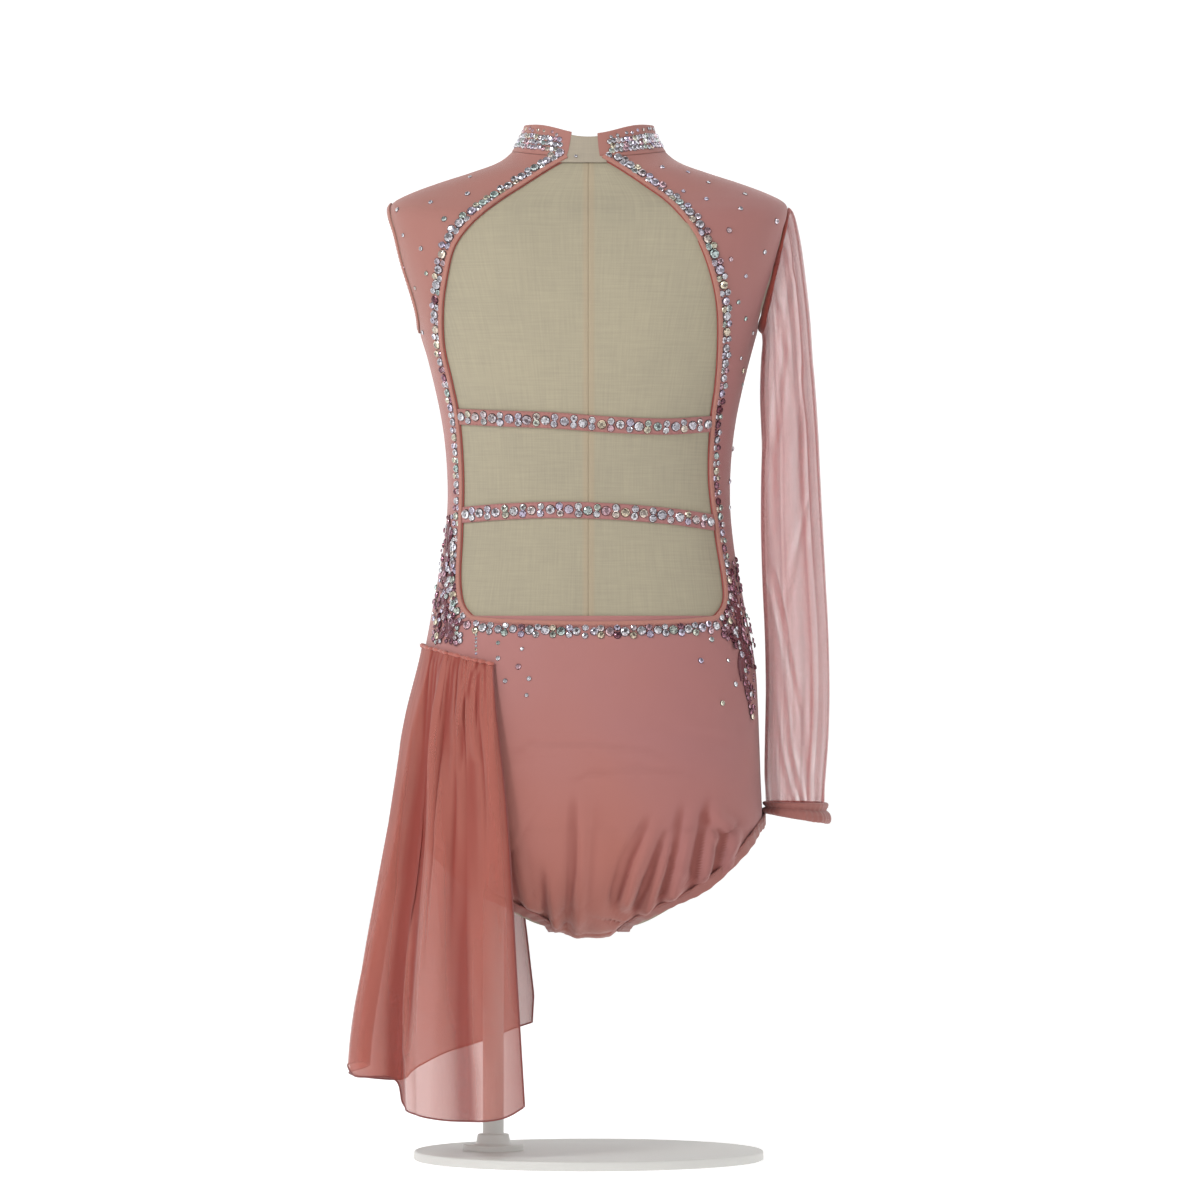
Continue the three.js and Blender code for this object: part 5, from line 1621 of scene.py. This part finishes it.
class DRESS_OT_lace(bpy.types.Operator):
    """Builds the wine lace on the hips with its beads"""

    bl_idname = "dress.lace"
    bl_label = "Beaded lace"

    def execute(self, context):
        random = np.random.default_rng(context.scene.dress_sizes.seed + 3)
        bead = bead_copy()
        for side, leaves, stem in (("left", LEAVES_LEFT, STEM_LEFT), ("right", LEAVES_RIGHT, STEM_RIGHT)):
            lace = lace_side(f"lace_{side}", leaves, stem)
            belongs(lace, "lace", "lace", f"applique_{side}")
            rows = []
            for x, height, points, length, width in leaves:
                for along in np.arange(0.0, 1.02, 1.7 / length):
                    half = 0.5 * width * max(math.sin(math.pi * min(along, 1) ** 0.8), 0.05)
                    for across in (-1, 1):
                        side_by = across * half + random.normal(0, 0.15)
                        place = on_leaf(x, height, points, length, along, side_by)
                        rows.append(seated(*place, ON_KNIT + 0.3, random.uniform(1.5, 2.1)))
            points, out, along, size = (np.array(v) for v in zip(*rows))
            made = copies(f"beads_{side}", bead, points, out, along, size[:, None], finish_named("lace"))
            belongs(made, "lace", "lace")
        bpy.data.objects.remove(bead)
        return {"FINISHED"}


class DRESS_OT_crystals(bpy.types.Operator):
    """Sets the crystals on the edges, the straps, the collar and the hips"""

    bl_idname = "dress.crystals"
    bl_label = "Crystals"

    def execute(self, context):
        large, small = millimetres("large_crystal"), millimetres("small_crystal")
        seed = context.scene.dress_sizes.seed
        random = np.random.default_rng(seed)
        copy = crystal_copy()
        groups = {
            "crystals_edge": self.edge(random, large, small),
            "crystals_straps": self.straps(random, large, small),
            "crystals_collar": self.collar(random, small),
            "crystals_scattered": self.scattered(random, small),
            "crystals_lace": self.on_lace(random, large, small),
        }
        for name, rows in groups.items():
            points, out, along, size = (np.array([row[k] for row in rows]) for k in range(4))
            wine = np.array([row[4] if len(row) > 4 else 0.0 for row in rows])
            spin = random.uniform(0, TURN, len(rows))[:, None]
            way = along * np.cos(spin) + np.cross(out, along) * np.sin(spin)
            chance, dark, pale = (random.uniform(*ends, len(rows)) for ends in ((0, 1), (0.88, 1), (0, 0.86)))
            tint = np.where(chance < wine, dark, pale)
            tilt = unit(out + random.normal(0, 0.06, out.shape))
            glass = finish_named("crystal")
            made = copies(name, copy, points, tilt, way, size[:, None], glass, seed, tint=tint)
            belongs(made, "crystal", "lace")
        bpy.data.objects.remove(copy)
        return {"FINISHED"}

    def edge(self, random, large, small):
        route, pitch = open_back_route(), 6.7
        pattern = [[(-8.2, large)], [(-5.4, small), (-11.1, small)]]
        rows = stones_on(route, pattern, 3, route.length - 3, pitch, ON_CLOTH, random)
        at_waist = lambda point: 0.2 * bell(point[2] - 540, 110)  # smaller and darker stones there
        return [(*row[:3], row[3] * (1 - at_waist(row[0])), at_waist(row[0])) for row in rows]

    def straps(self, random, large, small):
        rows, pitch, out = [], 7.9, 2.4
        pattern = [[(0.0, large)], [(2.9, small), (-2.9, small)]]
        for heights in (STRAP_UPPER, STRAP_LOWER):
            route = strap_route(heights)
            rows += stones_on(route, pattern, 4, route.length - 2, pitch, out, random)
        return rows

    def collar(self, random, small):
        rows, stones_in_line, stones_on_top = [], 84, 46
        start, end = collar_turns()
        for line, up in enumerate((0.22, 0.4, 0.58)):
            turns = np.linspace(start + 0.16, end - 0.16, stones_in_line)
            for turn in turns + (0.5 * (turns[1] - turns[0]) if line % 2 else 0):
                here = up + random.normal(0, 0.015)
                rows.append(self.on_collar(turn, here, small * random.uniform(0.7, 0.85)))
        for turn in np.linspace(start + 0.2, end - 0.2, stones_on_top):
            if random.uniform() < 0.75:
                here = turn + random.normal(0, 0.02)
                rows.append(self.on_collar(here, random.uniform(0.74, 0.86), small * 0.48))
        rows.append(self.on_collar(-0.15, 0.0, small * 0.45))
        return rows

    def on_collar(self, turn, up, size):
        place = lambda turn, up, out: collar_place(np.array(turn), np.array(up), np.array(out))
        point = place(turn, up, 2.95)
        around = unit(place(turn + 0.01, up, 2.9) - point)
        rise = unit(place(turn, up + 0.02, 2.9) - place(turn, up, 2.9))
        return point, unit(np.cross(around, rise)), around, size

    def scattered(self, random, small):
        rows = []
        for x, height in YOKE_STONES + HIP_STONES:
            rows.append(seated(*besides(x, height), ON_CLOTH, small * random.choice([0.56, 0.66, 0.78])))
        for height in np.arange(394, 411, 3.2):
            rows.append(seated(*besides(-94.4, height), KNIT_OUT, small * 0.4))
        inside = lambda x, height: abs(x) < np.interp(height, [690, 770, 800], [104, 120, 96])
        for x, height in scatter(random, 46, 13, (-150, 150), (690, 800), inside):
            level = level_at(height)
            turn = math.pi - turn_at_x(level, x, True)
            rows.append(seated(level, turn, ON_CLOTH, small * random.choice([0.55, 0.7])))
        return rows

    def on_lace(self, random, large, small):
        rows = []
        for table, count, wine in ((CLUSTER_LEFT, 130, 0.45), (CLUSTER_RIGHT, 100, 0.85)):
            height, low, high = np.array(table, float).T

            def inside(x, h, height=height, low=low, high=high):
                return np.interp(h, height, low) < x < np.interp(h, height, high)

            spots = scatter(random, count, 3.5, (low.min(), high.max()), (height[0], height[-1]), inside)
            for x, h in spots:
                size = random.choice([small * 0.5, small * 0.65, small * 0.8, large * 0.75])
                rows.append(seated(*besides(x, h), ON_KNIT + random.uniform(0.1, 1.5), size, wine))
        return rows


class DRESS_OT_stitches(bpy.types.Operator):
    """Sews the edges, bands and straps with rows of stitches"""

    bl_idname = "dress.stitches"
    bl_label = "Stitches"

    def execute(self, context):
        copy = stitch_copy()
        rows = [stitches_on(open_back_route(), -2.9, ON_KNIT + 1.15)]
        for side in (-1, 1):
            rows.append(stitches_on(leg_route(side), -side * 5.2, ON_KNIT + 2.1, zigzag=0.7, pitch=2.6))
        rows.append(stitches_on(armhole_route(-1), 3.2, ON_KNIT + 1.5))
        for heights in (STRAP_UPPER, STRAP_LOWER):
            for beside in (-6.2, 6.2):
                rows.append(stitches_on(strap_route(heights), beside, 2.3))
        points, out, along, size = (np.concatenate(parts) for parts in zip(*rows))
        made = copies("stitches", copy, points, out, along, size, finish_named("thread"))
        belongs(made, "thread", "trim")
        bpy.data.objects.remove(copy)
        return {"FINISHED"}


# ---- form and stand --------


class DRESS_OT_form(bpy.types.Operator):
    """Builds the muslin-covered form, cut flat at the legs and closed at the neck"""

    bl_idname = "dress.form"
    bl_label = "Dress form"

    def execute(self, context):
        cover_out, rings = 0.5, 200
        near = np.array([-0.024, -0.016, -0.009, -0.004, 0, 0.004, 0.009, 0.016, 0.024])
        by_seams = [(quarters * QUARTER + near) % TURN for quarters in range(4)]
        turns = np.unique(np.concatenate([np.linspace(0, TURN, 181)[:-1]] + by_seams))
        levels = np.concatenate([[0.0, 0.12, 0.3], np.linspace(0.6, level_at(FORM_TOP), rings)])
        level, turn = levels[:, None] + 0 * turns, turns + 0 * levels[:, None]
        bare = figure(level, turn)
        seam = bell(bare[..., 0], 0.55) + bell(bare[..., 1], 0.55)
        puff = bell(bare[..., 0], 3.0) + bell(bare[..., 1], 3.0)
        blades, behind = np.zeros_like(seam), bare[..., 1] < 0
        for x, height in ((-58, 744), (70, 746)):
            blades += 2.6 * bell(bare[..., 0] - x, 24) * bell(bare[..., 2] - height, 17) * behind
        sections = lifted(level, turn, cover_out - 0.75 * seam + 0.2 * puff + blades)
        rim, centre = sections[-1], sections[-1].mean(0)
        for inset, rise in ((0.985, 0.6), (0.95, 1.0), (0.93, 0.2), (0.9, 0.4), (0.5, 1.2), (0.12, 1.5)):
            ring = centre + (rim - centre) * inset + np.array([0, 0, rise])
            sections = np.concatenate([sections, ring[None]])
        body = loft("form_cover", sections)
        bm = bmesh.new()
        bm.from_mesh(body.data)
        for side in (-1, 1):
            up = Vector((-side * LEG_CUT["rise"], -LEG_CUT["tilt"], 1)).normalized()
            at = Vector((side * LEG_CUT["x"], 0, LEG_CUT["height"] + HEM_TO_FLOOR)) * MM
            geom = bm.verts[:] + bm.edges[:] + bm.faces[:]
            cut = bmesh.ops.bisect_plane(bm, geom=geom, plane_co=at, plane_no=up, clear_inner=True)
            edges = [e for e in cut["geom_cut"] if isinstance(e, bmesh.types.BMEdge)]
            bmesh.ops.holes_fill(bm, edges=edges, sides=0)
        bm.to_mesh(body.data)
        bm.free()
        body.data.set_sharp_from_angle(angle=math.radians(40))
        belongs(body, "muslin", "muslin", "form_torso")
        self.stand()
        return {"FINISHED"}

    def turned(self, name, profile, segments, centre):
        """A solid of revolution from radii and heights."""
        angles = np.linspace(0, TURN, segments, endpoint=False)
        ring = lambda r, h: [(centre + r * math.cos(a), r * math.sin(a), h - HEM_TO_FLOOR) for a in angles]
        rings = [ring(r, h) for r, h in profile]
        return loft(name, np.array(rings), sharp=35)

    def stand(self):
        low, high = (corner.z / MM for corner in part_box("form_rod"))
        edge = lambda r, h, size, steps=4: [
            (r - size + size * math.cos(a), h - size + size * math.sin(a))
            for a in np.linspace(0, QUARTER, steps + 1)
        ]
        rod = [(26, low)] + edge(26, low + 5, 1.2) + [(16.2, low + 5), (15.3, low + 5.6), (14.6, low + 7)]
        rod += edge(13.6, low + 14, 1.4) + [(9.6, low + 14.2), (9, low + 15)] + edge(9, high, 1.0)
        made = self.turned("stand_rod", rod, 72, ROD_X)
        belongs(made, "steel", "painted_steel", "form_rod")
        plate = [(148.8, 0), (149.7, 0.5), (150, 1.4)] + edge(150, 8, 2.0, 5)
        plate += [(120, 8.02), (60, 8.02), (20, 8.02)]
        made = self.turned("stand_plate", plate, 144, 0)
        belongs(made, "steel", "painted_steel", "form_base")


# ---- stage --------


class DRESS_OT_stage(bpy.types.Operator):
    """Sets up the pale floor and backdrop, the soft lights and the camera"""

    bl_idname = "dress.stage"
    bl_label = "Stage"

    def execute(self, context):
        scene = context.scene
        profile = [(2.8, 0), (5.6, 0), (6.5, 0.06), (7.3, 0.3), (8, 0.85), (8.4, 1.7), (8.6, 3.1), (8.6, 5.6)]
        segments = 96
        points = [(0, 0, 0)]
        for radius, height in profile:
            points += [(*spot, height) for spot in circle(radius, segments)]
        faces = [(0, 1 + i, 1 + (i + 1) % segments) for i in range(segments)]
        for ring in range(len(profile) - 1):
            a, b = 1 + ring * segments, 1 + (ring + 1) * segments
            pairs = [(i, (i + 1) % segments) for i in range(segments)]
            faces += [(a + i, b + i, b + j, a + j) for i, j in pairs]
        mesh = bpy.data.meshes.new("floor")
        mesh.from_pydata(points, [], faces)
        mesh.polygons.foreach_set("use_smooth", [True] * len(mesh.polygons))
        floor = placed("floor", mesh)
        paper = Finish("studio_paper", Roughness=0.9, Specular_IOR_Level=0.1, Emission_Strength=0.5)
        grain = paper.noise(paper.place(), 60.0, 2.0)
        paper.feed(Base_Color=paper.blend(grain, (0.78, 0.78, 0.78), (0.81, 0.81, 0.81)))
        floor.data.materials.append(paper.material)

        world = bpy.data.worlds.new("studio")
        world.use_nodes = True
        background = world.node_tree.nodes["Background"].inputs
        background["Color"].default_value, background["Strength"].default_value = (1, 1, 1, 1), 0.3
        scene.world = world
        lamps = [
            ("key", (-1.7, -1.9, 2.3), 0.8, 40),
            ("fill", (2.4, -2.4, 1.2), 2.0, 2),
            ("rim", (2.2, 1.4, 2.0), 1.2, 6),
            ("back", (-2.2, 2.2, 1.6), 2.0, 8),
            ("top", (0.3, 0.2, 3.2), 1.6, 12),
        ]
        for name, place, size, power in lamps:
            light = bpy.data.lights.new(name, "AREA")
            light.shape, light.size, light.energy = "DISK", size, power
            lamp = placed(name, light)
            lamp.location = place
            lamp.rotation_euler = (Vector((0, 0, 0.5)) - Vector(place)).to_track_quat("-Z", "Y").to_euler()

        data = bpy.data.cameras.new("camera")
        distance, across = 7.0, 1.03  # in metres; across is the width that the picture shows at the dress
        data.sensor_width = 36.0
        data.lens = data.sensor_width * distance / across
        camera = placed("camera", data)
        camera.location = (0.0096, -distance, 0.48)
        camera.rotation_euler = (QUARTER, 0, 0)
        scene.camera = camera
        scene.view_settings.view_transform = "Standard"
        return {"FINISHED"}


class DRESS_PT_panel(bpy.types.Panel):
    """Lists the steps that build the dress"""

    bl_label = "Lyrical Dance Dress"
    bl_space_type = "VIEW_3D"
    bl_region_type = "UI"
    bl_category = "Dress"

    def draw(self, context):
        layout = self.layout
        for step in STEPS:
            layout.operator(step.bl_idname)
        for group in (context.scene.dress_sizes, context.scene.dress_colours):
            box = layout.box()
            for name in group.__annotations__:
                box.prop(group, name)


STEPS = (
    DRESS_OT_stage,
    DRESS_OT_form,
    DRESS_OT_leotard,
    DRESS_OT_collar,
    DRESS_OT_sleeve,
    DRESS_OT_skirt,
    DRESS_OT_lace,
    DRESS_OT_crystals,
    DRESS_OT_stitches,
)
CLASSES = (DressSizes, DressColours, *STEPS, DRESS_PT_panel)


def register():
    for cls in CLASSES:
        bpy.utils.register_class(cls)
    bpy.types.Scene.dress_sizes = PointerProperty(type=DressSizes)
    bpy.types.Scene.dress_colours = PointerProperty(type=DressColours)


def unregister():
    del bpy.types.Scene.dress_colours
    del bpy.types.Scene.dress_sizes
    for cls in reversed(CLASSES):
        bpy.utils.unregister_class(cls)


def main():
    register()
    for step in STEPS:
        group, action = step.bl_idname.split(".")
        getattr(getattr(bpy.ops, group), action)()


if __name__ == "__main__":
    main()
